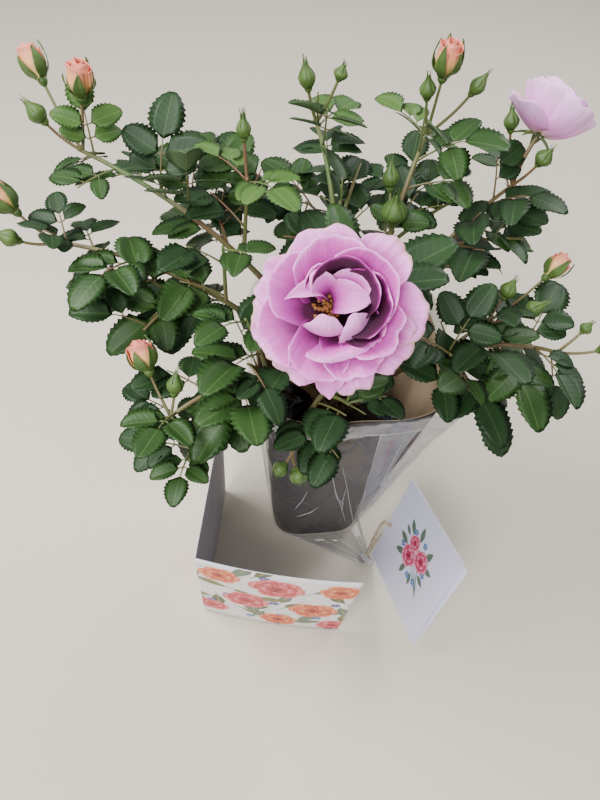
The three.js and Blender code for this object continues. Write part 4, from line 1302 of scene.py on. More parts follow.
def inside_bloom(points):
    inside = np.zeros(len(points), bool)
    for bloom in BLOOMS:
        offset = points - bloom["centre"]
        deep = offset @ bloom["look"]
        wide = np.sqrt(np.maximum(0, (offset ** 2).sum(1) - deep ** 2))
        wide_share = wide / (bloom["radius"] + CLEAR_OF_BLOOM)
        deep_share = deep / (bloom["radius"] * BLOOM_DEPTH)
        inside |= wide_share ** 2 + deep_share ** 2 < 1
    return inside


def inside_sleeve(points):
    angle = np.arctan2(points[:, 1], points[:, 0]) - WRAP_TURN
    reach = film_reach(angle, np.minimum(1, points[:, 2] / FILM_TOP)) + CLEAR_OF_SLEEVE
    return (points[:, 2] <= FILM_TOP + CLEAR_OF_RIM) & (np.hypot(points[:, 0], points[:, 1]) < reach)


# Which points stand clear of the blooms, the sleeve and the canes, and nearer to their own mass than another.
def points_fit(points, mass):
    fits = ~(inside_bloom(points) | inside_sleeve(points))
    if not fits.any():
        return fits
    own = nearest(points, mass["spine"])
    for other in MASSES:
        fits &= nearest(points, other["cane"]) >= CANE_FOOT_RADIUS + CLEAR_OF_LIMB
        if other is not mass:
            fits &= nearest(points, other["spine"]) > own + CLEAR_OF_MASS
    return fits


# A compound leaf on a stalk that leaves the stem, bends up and droops.
def compound_leaf(foot, stem_along, azimuth, scale, between):
    level = np.cross(stem_along, UP)
    if np.linalg.norm(level) < 0.2:
        level = np.array([1.0, 0.0, 0.0])
    level = unit(level)
    over = np.cross(level, stem_along)
    out = level * math.cos(azimuth) + over * math.sin(azimuth)
    length = scale * between(*RACHIS_LENGTHS)
    start = unit(out + 0.45 * stem_along + 0.3 * UP)
    end = unit(start - 0.42 * UP)
    elbow = foot + start * length * 0.5
    curve = bezier(foot, elbow, elbow + end * length * 0.5)
    side = unit(np.cross(start, UP))
    side = unit(side + UP * between(-0.3, 0.3))
    leaflets = []
    for share, hand, size in LEAFLETS:
        along = tangent(curve, share)
        heading = along * (1 if hand == 0 else 0.5) + side * hand * 0.9 + UP * between(-0.2, 0.1)
        heading[2] *= 0.6
        heading = unit(heading)
        face = np.cross(side, along) + UP * 1.2 + side * between(-0.35, 0.35)
        face = unit(face - face @ heading * heading)
        base = foot + (curve(1) - foot) * min(LAST_SHARE, share)
        leaflets.append(dict(
            base=base, joint=curve(share), along=heading, face=face, across=np.cross(heading, face),
            length=LEAFLET_LENGTH * scale * size * between(0.88, 1.12),
        ))
    return dict(curve=curve, leaflets=leaflets)


# Five points that stand for a leaflet where it has to stay clear.
def leaflet_points(leaflet):
    half = leaflet["length"] * LEAFLET_WIDTH / 2
    return np.array([
        leaflet["base"] + leaflet["along"] * share * leaflet["length"] + leaflet["across"] * side * half
        for share, side in ((0.25, 0), (LEAFLET_WIDEST, -1), (LEAFLET_WIDEST, 1), (0.6, 0), (1, 0))
    ])


def leaflet_middle(leaflet):
    return leaflet["base"] + leaflet["along"] * 0.5 * leaflet["length"]


# No leaflet hangs between the camera and a bud of its own mass, and the film's sealed corner is left bare.
def hides(point, mass):
    for bud in mass["placed"]:
        middle = bud["base"] + bud["along"] * bud["length"] / 2
        sight = unit(np.array(CAMERA_PLACE) / MM - middle)
        offset = point - middle
        along = offset @ sight
        if -SIGHT_BEHIND < along < SIGHT_BEFORE and np.linalg.norm(offset - along * sight) < SIGHT_HALF:
            return True
    return mass["name"] == "front" and (point[0] > BARE_RIGHT or (point[0] > 0 and point[1] < BARE_FRONT))


# The leaflets of a leaf that stand clear of the rest, and none if its stalk doesn't.
def fitting_leaflets(leaf, mass, middles, apart):
    if not points_fit(np.array([leaf["curve"](share) for share in (0.5, 0.75, 1)]), mass).all():
        return []
    points = np.concatenate([leaflet_points(leaflet) for leaflet in leaf["leaflets"]])
    clear = points_fit(points, mass).reshape(len(leaf["leaflets"]), -1).all(axis=1)
    kept = []
    for leaflet, fits in zip(leaf["leaflets"], clear):
        if fits and (not middles or nearest(leaflet_middle(leaflet)[None], np.array(middles))[0] > apart):
            kept.append(leaflet)
    return kept


# Leaves of one mass. The first round repeats the solids' leaves, and the second sets smaller ones between.
def grow_leaves(mass):
    between = seeded(mass["seed"] * LEAF_SEED)
    middles = []
    leaves = []
    for limb in mass["curves"]:
        for i in range(limb["leaves"]):
            place = 0.1 + 0.82 * i / max(1, limb["leaves"] - 1)
            share = limb["start"] + (1 - limb["start"]) * place
            scale = 1 - 0.38 * place * place
            foot = facet_point(limb["curve"], limb["start"], limb["steps"], share)
            stem_along = tangent(limb["curve"], share)
            chosen = None
            fitting = []
            for attempt in range(LEAF_TRIES):
                if len(fitting) == len(LEAFLETS):
                    break
                turned = LEAF_TURN * i + LEAF_TRY_TURN * attempt + between(-0.4, 0.4)
                trial = compound_leaf(foot, stem_along, turned, scale, between)
                kept = fitting_leaflets(trial, mass, middles, LEAFLETS_APART)
                if len(kept) > len(fitting):
                    chosen, fitting = trial, kept
            if len(fitting) >= FEWEST_LEAFLETS:
                leaves.append(dict(curve=chosen["curve"], leaflets=fitting, place=place))
                middles += [leaflet_middle(leaflet) for leaflet in fitting]
    between = seeded(mass["seed"] * FILLER_SEED)
    for limb in mass["curves"]:
        count = limb["leaves"] + (0 if mass["name"] in LOW_MASSES else 2)
        for i in range(count):
            place = 0.04 + 0.9 * i / (count - 1)
            share = limb["start"] + (1 - limb["start"]) * place
            scale = 0.95 - 0.4 * place * place
            foot = limb["curve"](share)
            stem_along = tangent(limb["curve"], share)
            for attempt in range(FILLER_TRIES):
                turned = LEAF_TURN * i + FILLER_START + FILLER_TRY_TURN * attempt + between(-0.4, 0.4)
                trial = compound_leaf(foot, stem_along, turned, scale, between)
                kept = fitting_leaflets(trial, mass, middles, FILLERS_APART)
                if len(kept) >= FEWEST_FILLERS:
                    leaves.append(dict(curve=trial["curve"], leaflets=kept, place=place))
                    middles += [leaflet_middle(leaflet) for leaflet in kept]
                    break
    return leaves


all_leaves = []
for mass in MASSES:
    for leaf in grow_leaves(mass):
        leaf["leaflets"] = [part for part in leaf["leaflets"] if not hides(leaflet_middle(part), mass)]
        if leaf["leaflets"]:
            all_leaves.append(leaf)

green_stem = add_grain(
    make_finish("green stem", (0.13, 0.15, 0.05), 0.45),
    (0.17, 0.075, 0.04), (0.1, 0.17, 0.045), 14, 500, 0.0001, (1, 1, 0.6),
)
BUD_STALK = (1.5, 1.15)
BLOOM_STALK = (1.9, 1.8)
LEAF_STALK = (1.05, 0.6)
LEAFLET_STALK = 0.55


# A stalk along a part of a curve, tapering from its first radius to its last.
def stalk(curve, start, end, rows, radii, sides):
    path = np.array([curve(t) for t in np.linspace(start, end, rows)])
    return tube_mesh(path, np.linspace(*radii, rows), sides)


stalk_meshes = []
for mass in MASSES:
    for limb in mass["curves"]:
        start = limb["start"] - LIMB_SINK if limb["start"] else 0
        stalk_meshes.append(stalk(limb["curve"], start, 1, 26, limb["radii"], 10))
    for bud in mass["placed"]:
        sunk = bud["base"] + bud["along"] * 2
        elbow = sunk - bud["along"] * 0.5 * np.linalg.norm(bud["start"] - bud["base"])
        stalk_meshes.append(stalk(bezier(bud["start"], elbow, sunk), 0, 1, 14, BUD_STALK, 8))
for bloom in BLOOMS:
    start = below_tip(next(mass for mass in MASSES if mass["name"] == bloom["mass"])["curves"][0])
    end = bloom["centre"] - bloom["look"] * (HIP_DROP - 0.04) * bloom["radius"]
    elbow = end - bloom["look"] * 0.5 * np.linalg.norm(start - end)
    stalk_meshes.append(stalk(bezier(start, elbow, end), 0, 1, 16, BLOOM_STALK, 10))
last_leaflet = max(share for share, _, _ in LEAFLETS)
for leaf in all_leaves:
    stalk_meshes.append(stalk(leaf["curve"], 0, last_leaflet, 7, LEAF_STALK, 5))
    for leaflet in leaf["leaflets"]:
        leaflet["foot"] = leaflet["joint"] + leaflet["along"] * PETIOLULE
        stem = [leaflet["joint"], leaflet["joint"] + leaflet["along"] * (PETIOLULE + 1)]
        stalk_meshes.append(tube_mesh(stem, LEAFLET_STALK, 5))
foliage_solids = [f"foliage_{mass['name']}" for mass in MASSES]
make_piece("leaf_stalks", stalk_meshes, [green_stem], foliage_solids)


# Leaves: thin leaflets with toothed edges and quilted veins, in five forms and three tones. The youngest
# ones, high up at the ends of the stems, are the palest.
TEETH = 9
LEAF_THICKNESS = 0.008
YOUNG_FROM = 0.85
YOUNG_ABOVE = 470
DARK_SHARE = 0.55
SIDE_VEINS = 7


# One leaflet, closed and thin, in shares of its length: a rib and one row of points each side of it, and an
# edge with a forward tooth to each row. Fold lifts the halves and curl bends the tip down.
def leaflet_form(fold, curl, wave, twist):
    def half_width(t):
        return 0.385 * (t / 0.42) ** 0.55 * (max(0.0, 1 - t) / 0.58) ** 0.76

    def surface(x, t):
        lift = abs(x) * fold - curl * t * t + wave * math.sin(9 * t + 2 * twist) * (abs(x) / 0.38) ** 2
        lift += twist * x * (t - 0.4)
        return np.array([x, t, lift])

    top = []
    ribs = []
    for i in range(TEETH + 1):
        t = i / TEETH
        ribs.append(len(top))
        top.append(surface(0, t))
    inner = {}
    edge = {}
    for side in (-1, 1):
        inner[side] = []
        edge[side] = []
        for i in range(1, TEETH):
            t = i / TEETH
            inner[side].append(len(top))
            top.append(surface(side * half_width(t) * 0.52, t + 0.035) + [0, 0, 0.006])
            edge[side].append(len(top))
            top.append(surface(side * half_width(t + 0.02) * 0.9, t + 0.052))
            edge[side].append(len(top))
            tip = min(0.985, t + 0.095)
            top.append(surface(side * half_width(tip - 0.03) * 1.045, tip))
    count = len(top)
    faces = []
    for side in (-1, 1):
        rim = edge[side]
        rows = inner[side]
        loops = [[ribs[0], ribs[1], rows[0], rim[0]]]
        for i in range(TEETH - 2):
            loops.append([ribs[i + 1], ribs[i + 2], rows[i + 1], rows[i]])
            loops.append([rows[i], rows[i + 1], rim[2 * i + 2]])
            loops.append([rows[i], rim[2 * i + 2], rim[2 * i + 1]])
            loops.append([rows[i], rim[2 * i + 1], rim[2 * i]])
        loops.append([ribs[TEETH - 1], ribs[TEETH], rim[-1], rows[-1]])
        loops.append([rows[-1], rim[-1], rim[-2]])
        faces += [loop if side < 0 else loop[::-1] for loop in loops]
    rims = {index for side in (-1, 1) for index in edge[side]} | {ribs[0], ribs[TEETH]}
    below = {}
    vertices = list(top)
    for index in range(count):
        if index in rims:
            below[index] = index
        else:
            below[index] = len(vertices)
            vertices.append(top[index] - [0, 0, LEAF_THICKNESS])
    under = [[below[index] for index in face[::-1]] for face in faces]
    whole = faces + under
    uvs = [(0.5 + vertices[index][0], vertices[index][1]) for face in whole for index in face]
    return vertices, whole, uvs, [0] * len(faces) + [1] * len(under)


leaf_forms = [
    leaflet_form(*shape) for shape in (
        (0.22, 0.1, 0.012, 0.06), (0.38, 0.17, 0.02, -0.08), (0.12, 0.22, 0.018, 0.1),
        (0.3, 0.04, 0.024, -0.04), (0.5, 0.12, 0.016, 0.03),
    )
]


def math_node(tree, operation, *values):
    return add_node(tree, "ShaderNodeMath", *values, settings={"operation": operation}).outputs[0]


# A mix node's colours come after its sockets for numbers and for vectors.
def mix_colours(tree, share, first, second, blend="MIX"):
    node = add_node(tree, "ShaderNodeMix", share, settings={"data_type": "RGBA", "blend_type": blend})
    feed(tree, node.inputs[6], first)
    feed(tree, node.inputs[7], second)
    return node.outputs[2]


# Leaf skin with a paler rib and side veins, the blade quilted between them, in the leaf's own map.
def leaf_finish(name, low, high, rib, roughness):
    finish = make_finish(name, high, roughness, Specular_IOR_Level=0.3)
    tree = finish.node_tree
    place = add_node(tree, "ShaderNodeTexCoord")
    across, along, _ = add_node(tree, "ShaderNodeSeparateXYZ", place.outputs["UV"]).outputs
    aside = math_node(tree, "ABSOLUTE", math_node(tree, "SUBTRACT", across, 0.5))
    slanted = math_node(tree, "SUBTRACT", along, math_node(tree, "MULTIPLY", aside, 0.75))
    swing = math_node(tree, "SINE", math_node(tree, "MULTIPLY", slanted, math.pi * SIDE_VEINS))
    wave = math_node(tree, "ABSOLUTE", swing)

    def line(distance, sharpness):
        near = math_node(tree, "MINIMUM", 1.0, math_node(tree, "MULTIPLY", distance, sharpness))
        return math_node(tree, "SUBTRACT", 1.0, near)

    side_vein = math_node(tree, "MULTIPLY", line(wave, 4.0), 0.12)
    mid_vein = line(aside, 50.0)
    vein = math_node(tree, "MAXIMUM", side_vein, math_node(tree, "MULTIPLY", mid_vein, 0.7))
    blade = add_ramp(tree, add_noise(tree, place.outputs["Object"], 26, 5), [(0.32, low), (0.68, high)])
    height = math_node(
        tree, "SUBTRACT", math_node(tree, "POWER", wave, 0.5), math_node(tree, "MULTIPLY", mid_vein, 0.6)
    )
    return paint(finish, mix_colours(tree, vein, blade, (*rib, 1)), height, 0.45, 0.0002)


leaf_under = leaf_finish("leaf underside", (0.08, 0.14, 0.06), (0.12, 0.19, 0.085), (0.17, 0.24, 0.1), 0.7)
leaf_tones = {
    "dark": leaf_finish("dark leaf", (0.011, 0.034, 0.009), (0.019, 0.052, 0.014), (0.06, 0.11, 0.035), 0.5),
    "mid": leaf_finish("green leaf", (0.018, 0.053, 0.01), (0.032, 0.08, 0.016), (0.09, 0.15, 0.04), 0.46),
    "young": leaf_finish("young leaf", (0.045, 0.11, 0.022), (0.08, 0.16, 0.035), (0.16, 0.24, 0.07), 0.46),
}
spots = {tone: [] for tone in leaf_tones}
draw = np.random.default_rng(61)
for leaf in all_leaves:
    young = leaf["place"] > YOUNG_FROM and leaf["leaflets"][0]["base"][2] > YOUNG_ABOVE
    tone = "young" if young else ("dark" if draw.random() < DARK_SHARE else "mid")
    for leaflet in leaf["leaflets"]:
        axes = np.stack([leaflet["across"], leaflet["along"], leaflet["face"]], axis=1)
        form = int(draw.integers(len(leaf_forms)))
        spots[tone].append((leaflet["foot"], axes, (leaflet["length"],) * 3, form))
for tone, finish in leaf_tones.items():
    set_forms(f"leaves_{tone}", leaf_forms, spots[tone], finish, leaf_under)


# Buds: a green hip under five sepals. On the closed ones the sepals wrap the bud to its point. On those
# that open they part from apricot petals rolled one over the other.
HIP_SHARE = 0.2
SEPAL_THICKNESS = 0.45
SEPALS = 5
ROLLED_THICKNESS = 0.5
ROLLED_PETALS = 7
ROLLED_TURN = 2.4
SQUAT = 1.25
CLOUDING = 0.16
OPENING_BUDS = {
    ("left_back", 0), ("left_back", 1), ("left", 0), ("left_front", 0), ("back_right", 0), ("right", 2),
}
# The share of a bud's half width at each share of its length.
BUD_SHARES = [0, 0.05, 0.12, 0.19, 0.25, 0.35, 0.5, 0.65, 0.8, 0.92, 1]
CLOSED_REACH = [0.2, 0.4, 0.52, 0.52, 0.66, 0.9, 1.0, 0.72, 0.34, 0.15, 0.03]
SQUAT_REACH = [0.3, 0.5, 0.64, 0.7, 0.78, 0.9, 1.0, 0.98, 0.82, 0.55, 0.14]
OPEN_REACH = [0.2, 0.4, 0.52, 0.48, 0.5, 0.8, 1.0, 1.0, 0.86, 0.74, 0.62]


# Axes with the third along a line, and the first turned about it by an angle.
def axes_along(along, turn):
    first = unit(np.cross([0.21, -0.93, 0.3], along))
    second = np.cross(along, first)
    turned_first = math.cos(turn) * first + math.sin(turn) * second
    turned_second = math.cos(turn) * second - math.sin(turn) * first
    return np.stack([turned_first, turned_second, along], axis=1)


# A thin sheet whose grid is given in axes of its own that stand on a base.
def set_sheet(grid, thickness, axes, base):
    vertices, faces, uvs, sides = sheet_mesh(grid, thickness)
    return vertices @ axes.T + base, faces, uvs, sides


# A sepal that hugs the bud up to its free tip. On a bud that opens it is narrower, shorter and leans away.
def sepal_grid(turn, length, half, reaches, opening, draw):
    v, u = np.meshgrid(np.linspace(0, 1, 14), np.linspace(1, -1, 7), indexing="ij")
    width = (0.5 if opening else 0.72) * (1 - v ** 1.6) + 0.03
    tip = draw.uniform(0.6, 1.05) if opening else draw.uniform(1.04, 1.2)
    share = HIP_SHARE + v * (tip - HIP_SHARE)
    free = 0.55 if opening else 0.8
    reach = half * np.interp(share, BUD_SHARES, reaches) + 0.3
    reach += draw.uniform(0.3, 1.5 if opening else 2.2) * np.maximum(0, share - free) * 4
    if opening:
        reach += half * (0.1 + 0.1 * u ** 2) * np.minimum(1, v * 4)
    return round_points(turn + u * width, reach, length * share - 0.3 * u ** 2)


# A petal rolled round the bud. The outer layers, with the lower numbers, flare at the rim.
def rolled_petal_grid(turn, length, half, layer):
    v, u = np.meshgrid(np.linspace(0, 1, 14), np.linspace(1, -1, 17), indexing="ij")
    top = 0.9 + 0.025 * layer
    share = HIP_SHARE - 0.02 + v * (1 - 0.1 * u ** 2) * (top - HIP_SHARE)
    body = half * (1 - 0.1 * layer) * np.interp(share, BUD_SHARES, OPEN_REACH)
    flare = (0.2 if layer < 2 else 0.05) * half * v ** 7
    reach = body + flare + 0.05 * half * u + 0.02 * half * np.sin(5 * u + layer) * v ** 3
    spread = 1.7 * (0.45 + 0.55 * np.minimum(1, v / 0.5))
    height = length * share + 0.025 * length * np.sin(3 * u + layer) * v ** 4
    return round_points(turn + u * spread, reach, height)


sepal_green = add_grain(
    make_finish("sepal green", (0.1, 0.19, 0.05), 0.5),
    (0.04, 0.092, 0.016), (0.1, 0.17, 0.034), 60, 400, 0.0002,
)


# Colour runs along a petal from claw to edge by its stops, broken up by a soft cloud and fine long veins.
def petal_finish(name, stops, roughness):
    finish = make_finish(name, stops[-1][1], roughness)
    tree = finish.node_tree
    place = add_node(tree, "ShaderNodeTexCoord")
    along = add_node(tree, "ShaderNodeSeparateXYZ", place.outputs["UV"]).outputs[1]
    cloud = add_noise(tree, place.outputs["Object"], 55, 4)
    clear = math_node(tree, "MULTIPLY", along, 1 - CLOUDING)
    clouded = math_node(tree, "MULTIPLY_ADD", cloud, CLOUDING, clear)
    stretch = add_node(tree, "ShaderNodeMapping", Vector=place.outputs["UV"], Scale=(34, 3, 1))
    veins = add_noise(tree, stretch.outputs["Vector"], 1, 3)
    streaks = add_node(
        tree, "ShaderNodeMapRange", Value=veins, From_Min=0.35, From_Max=0.65, To_Min=0.87, To_Max=1.05
    )
    colour = mix_colours(tree, 1, add_ramp(tree, clouded, stops), streaks.outputs["Result"], "MULTIPLY")
    return paint(finish, colour, veins, 0.6, 0.0004)


apricot = petal_finish("apricot petal", [
    (0.15, (0.66, 0.58, 0.2)), (0.4, (0.88, 0.52, 0.18)), (0.7, (0.88, 0.38, 0.18)),
    (0.9, (0.84, 0.24, 0.18)),
], 0.55)
draw = np.random.default_rng(77)
green_meshes = []
apricot_meshes = []
for mass in MASSES:
    for number, bud in enumerate(mass["placed"]):
        opening = (mass["name"], number) in OPENING_BUDS
        axes = axes_along(bud["along"], draw.uniform(0, 6))
        half = bud["width"] / 2
        length = bud["length"] * (1 if opening else 0.92)
        squat = bud["length"] < SQUAT * bud["width"]
        reaches = OPEN_REACH if opening else (SQUAT_REACH if squat else CLOSED_REACH)
        shares = np.linspace(0, 0.3 if opening else 0.97, 16)
        core = [bud["base"] + bud["along"] * length * share for share in shares]
        inset = 0.8 if opening else 0.97
        green_meshes.append(tube_mesh(core, half * inset * np.interp(shares, BUD_SHARES, reaches) + 0.05, 14))
        for k in range(SEPALS):
            turn = 2 * math.pi * k / SEPALS + draw.uniform(-0.1, 0.1)
            grid = sepal_grid(turn, length, half, reaches, opening, draw)
            green_meshes.append(set_sheet(grid, SEPAL_THICKNESS, axes, bud["base"]))
        for layer in range(ROLLED_PETALS if opening else 0):
            grid = rolled_petal_grid(ROLLED_TURN * layer, length, half, layer)
            apricot_meshes.append(set_sheet(grid, ROLLED_THICKNESS, axes, bud["base"]))
make_piece("buds_green", green_meshes, [sepal_green])
make_piece("buds_apricot", apricot_meshes, [apricot])


# Open rose: three rings of broad petals on a green hip, the outer ones laid back with crimped and weathered
# edges, the inner ones cupped, and ten narrower petals folded over a heart of amber stamens.
PETAL_THICKNESS = 0.55
PETAL_CLAW = 2.5
FOLD_STEPS = 80
STAMENS = 70
STAMEN_SPREAD = 0.6
STAMEN_LENGTH = 15


# A petal grows from the heart along its middle line, whose slope runs from start to end, late where it
# folds in. It wraps the heart by its width, its sides rise by cup, and its edge is crimped.
def petal_grid(petal, draw, rows=24, columns=33):
    turn, reach, width, start, end, cup, crimp = petal
    v = np.linspace(0, 1, rows)[:, None]
    u = np.linspace(1, -1, columns)[None, :]
    late = 0.55 if start < 20 else (2.2 if end > 88 else 1.4)
    slope = np.radians(start + (end - start) * v ** late)
    step = reach / (rows - 1)
    out = PETAL_CLAW + np.cumsum(np.cos(slope), axis=0) * step
    rise = np.cumsum(np.sin(slope), axis=0) * step
    half = width / 2 * (0.16 + 0.84 * np.sin(math.pi / 2 * np.minimum(1, v / 0.7)) ** 0.9)
    notch = 1 - 0.2 * np.abs(u) ** 3 - 0.03 * np.exp(-((u - draw.uniform(-0.3, 0.3)) / 0.2) ** 2)
    uneven = 0.4 + 0.5 * crimp
    ragged = 0.026 * uneven * np.sin(2.3 * u * math.pi + draw.uniform(0, 6))
    ragged = ragged + 0.006 * uneven * np.sin(5.3 * u * math.pi + draw.uniform(0, 6))
    ragged = ragged + 0.002 * crimp * np.sin(11 * u * math.pi + draw.uniform(0, 6))
    index = np.clip(v * (notch + ragged * v ** 2) * (rows - 1), 0, rows - 1)
    low = np.clip(np.floor(index).astype(int), 0, rows - 2)
    part = index - low
    out, rise, slope = (row[low, 0] * (1 - part) + row[low + 1, 0] * part for row in (out, rise, slope))
    wave = np.sin(draw.uniform(1.3, 2.1) * u * math.pi + draw.uniform(0, 6))
    ripple = np.sin(draw.uniform(5, 7) * u * math.pi + draw.uniform(0, 6))
    bow = cup * half * (u ** 2 - 0.25) + crimp * v ** 3 * (wave + 0.2 * ripple)
    out = out - bow * np.sin(slope)
    rise = rise + bow * np.cos(slope)
    lean = math.radians(draw.uniform(-7, 7)) * v
    spread = u * half / np.maximum(out, 0.42 * reach)
    return round_points(math.radians(turn) + lean + spread, out, rise)


# The two darkest stops are painted shade: the petals darken towards their claws and down the inner walls of
# the cup, where shade falls.
DEEP_SHADE = (0.012, 0.0004, 0.006)
PLUM_SHADE = (0.06, 0.002, 0.034)
MAUVE = (0.27, 0.018, 0.19)
LILAC = (0.48, 0.05, 0.36)
PALE = (0.72, 0.12, 0.56)
RIM = (0.94, 0.34, 0.8)
WEATHERED = (0.62, 0.4, 0.3)
outer_petal = petal_finish("outer petal", [
    (0.1, PLUM_SHADE), (0.25, MAUVE), (0.45, LILAC), (0.7, PALE), (0.88, RIM), (0.945, WEATHERED),
], 0.55)
smooth_petal = petal_finish("smooth petal", [
    (0.2, DEEP_SHADE), (0.42, PLUM_SHADE), (0.56, MAUVE), (0.7, LILAC), (0.86, PALE), (0.92, RIM),
], 0.5)
# The inner ring is painted dark up most of its length, as shade on the walls of the cup.
inner_petal = petal_finish("inner petal", [
    (0.62, DEEP_SHADE), (0.84, PLUM_SHADE), (0.89, MAUVE), (0.908, LILAC), (0.92, RIM),
], 0.5)
folded_petal = petal_finish("folded petal", [
    (0.1, DEEP_SHADE), (0.3, PLUM_SHADE), (0.44, LILAC), (0.66, PALE), (0.92, RIM),
], 0.5)
petal_back = petal_finish("petal back", [
    (0.1, (0.6, 0.36, 0.34)), (0.35, (0.74, 0.19, 0.57)), (0.9, (0.92, 0.36, 0.78)),
], 0.6)

stamen_thread = make_finish("stamen thread", (0.5, 0.2, 0.08), 0.6)
anther = add_grain(
    make_finish("anther", (0.26, 0.1, 0.03), 0.7), (0.14, 0.045, 0.012), (0.42, 0.17, 0.04), 900, 1500, 0.0001
)


# A thread along its third axis with a thicker end, whose faces are marked as under.
def stamen_form():
    path = [(0, 0, 0), (0.02, 0, 0.5), (0, 0, 0.84), (0, 0, 0.88), (0, 0, 0.95), (0, 0, 1.0)]
    vertices, faces, uvs, sides = tube_mesh(path, [0.03, 0.025, 0.025, 0.085, 0.1, 0.03], 6)
    heights = [np.mean([vertices[index][2] for index in face]) for face in faces]
    return vertices, faces, uvs, [1 if height > 0.84 else 0 for height in heights]


# The place that a bloom's petals and stamens grow from.
def heart_place(bloom):
    return bloom["centre"] + bloom["look"] * bloom["heart"]


def stamen_spots(bloom, axes, draw):
    made = []
    for _ in range(STAMENS):
        aside = draw.uniform(0, 2 * math.pi)
        lean = STAMEN_SPREAD * math.sqrt(draw.random())
        local = np.array([math.sin(lean) * math.cos(aside), math.sin(lean) * math.sin(aside), math.cos(lean)])
        foot = axes @ (local * [4.5, 4.5, 0] + bloom["heart_aside"]) + heart_place(bloom)
        size = STAMEN_LENGTH * draw.uniform(0.8, 1.15)
        made.append((foot, axes_along(axes @ local, aside), (size * 1.1, size * 1.1, size), 0))
    return made


# Makes the rings of a bloom. Each petal comes with its ring and its lift above the heart.
def set_bloom(bloom, petals, axes, back, draw):
    rings = {"outer": [], "middle": [], "inner": []}
    for petal, ring, lift in petals:
        grid = petal_grid(petal, draw)
        grid[..., 2] += lift
        sheet = set_sheet(grid, PETAL_THICKNESS, axes, heart_place(bloom))
        rings[("outer", "middle", "inner")[min(2, ring)]].append(sheet)
    for (ring, meshes), finish in zip(rings.items(), (outer_petal, smooth_petal, inner_petal)):
        replaced = [f"bloom_{bloom['name']}"] if ring == "outer" else []
        make_piece(f"{bloom['piece']}_{ring}", meshes, [finish, back, finish], replaced)


# The green hip under a bloom, with sepals that hang back from it.
def set_calyx(bloom, axes, draw):
    foot = bloom["centre"] - bloom["look"] * HIP_DROP * bloom["radius"]
    top = bloom["heart"] + HIP_DROP * bloom["radius"]
    shares = np.linspace(0, 1, 12)
    path = [foot + bloom["look"] * share * top for share in shares]
    reach = np.interp(shares, [0, 0.25, 0.6, 0.8, 1], [1.9, 4.6, 6.4, 5.2, 5.8])
    meshes = [tube_mesh(path, reach, 14)]
    for k in range(SEPALS):
        v, u = np.meshgrid(np.linspace(0, 1, 12), np.linspace(1, -1, 7), indexing="ij")
        width = 5 * (1 - v ** 1.4) + 0.2
        out = 5 + 17 * v
        height = top - 1.5 - 3 * v - 6 * v ** 2 + 0.8 * u ** 2
        turn = 2 * math.pi * k / SEPALS + draw.uniform(-0.15, 0.15)
        grid = round_points(turn + u * width / out, out, height)
        meshes.append(set_sheet(grid, SEPAL_THICKNESS, axes, foot))
    make_piece(f"{bloom['piece']}_calyx", meshes, [sepal_green])


# Axes of a bloom that turn its first one to the picture's right.
def picture_axes(look):
    across = unit(np.cross(camera_up, look))
    return np.stack([across, np.cross(look, across), look], axis=1)


draw = np.random.default_rng(88)
open_bloom = BLOOMS[0]
open_bloom["piece"] = "rose_open"
open_bloom["heart"] = -14
open_bloom["heart_aside"] = np.array([-6.0, 2.0, 0.0])
open_axes = picture_axes(open_bloom["look"])
open_petals = [
    ((turn, reach, width, start, end, 0.08, crimp), 0, 0)
    for turn, reach, width, start, end, crimp in (
        (100, 54, 62, 26, 4, 1.2), (50, 58, 42, 22, 2, 1.3), (-2, 58, 44, 20, -6, 1.0),
        (-40, 55, 46, 20, -4, 2.4), (-82, 55, 38, 22, -2, 1.6), (-124, 54, 44, 22, 0, 1.8),
        (-170, 57, 54, 20, 2, 2.0), (147, 55, 47, 24, 4, 2.2),
    )
]
open_petals += [
    ((turn, reach, width, start, end, 0.12, crimp), 1, 1.5)
    for turn, reach, width, start, end, crimp in (
        (-162, 53, 62, 24, 8, 0.5), (146, 50, 52, 32, 16, 0.7), (98, 52, 58, 42, 26, 0.8),
        (34, 54, 62, 40, 50, 0.6), (-24, 51, 48, 38, 34, 1.2), (-62, 50, 46, 34, 18, 1.4),
        (-106, 50, 44, 34, 10, 1.0),
    )
]
open_petals += [
    ((turn, reach, width, start, end, cup, crimp), 2, lift)
    for turn, reach, width, start, end, cup, crimp, lift in (
        (58, 49, 56, 47, 64, 0.12, 0.5, 2), (8, 50, 52, 45, 60, 0.12, 0.6, 2),
        (118, 40, 30, 46, 52, 0.12, 0.5, 1), (-34, 42, 30, 42, 52, 0.2, 1.2, 2),
    )
]


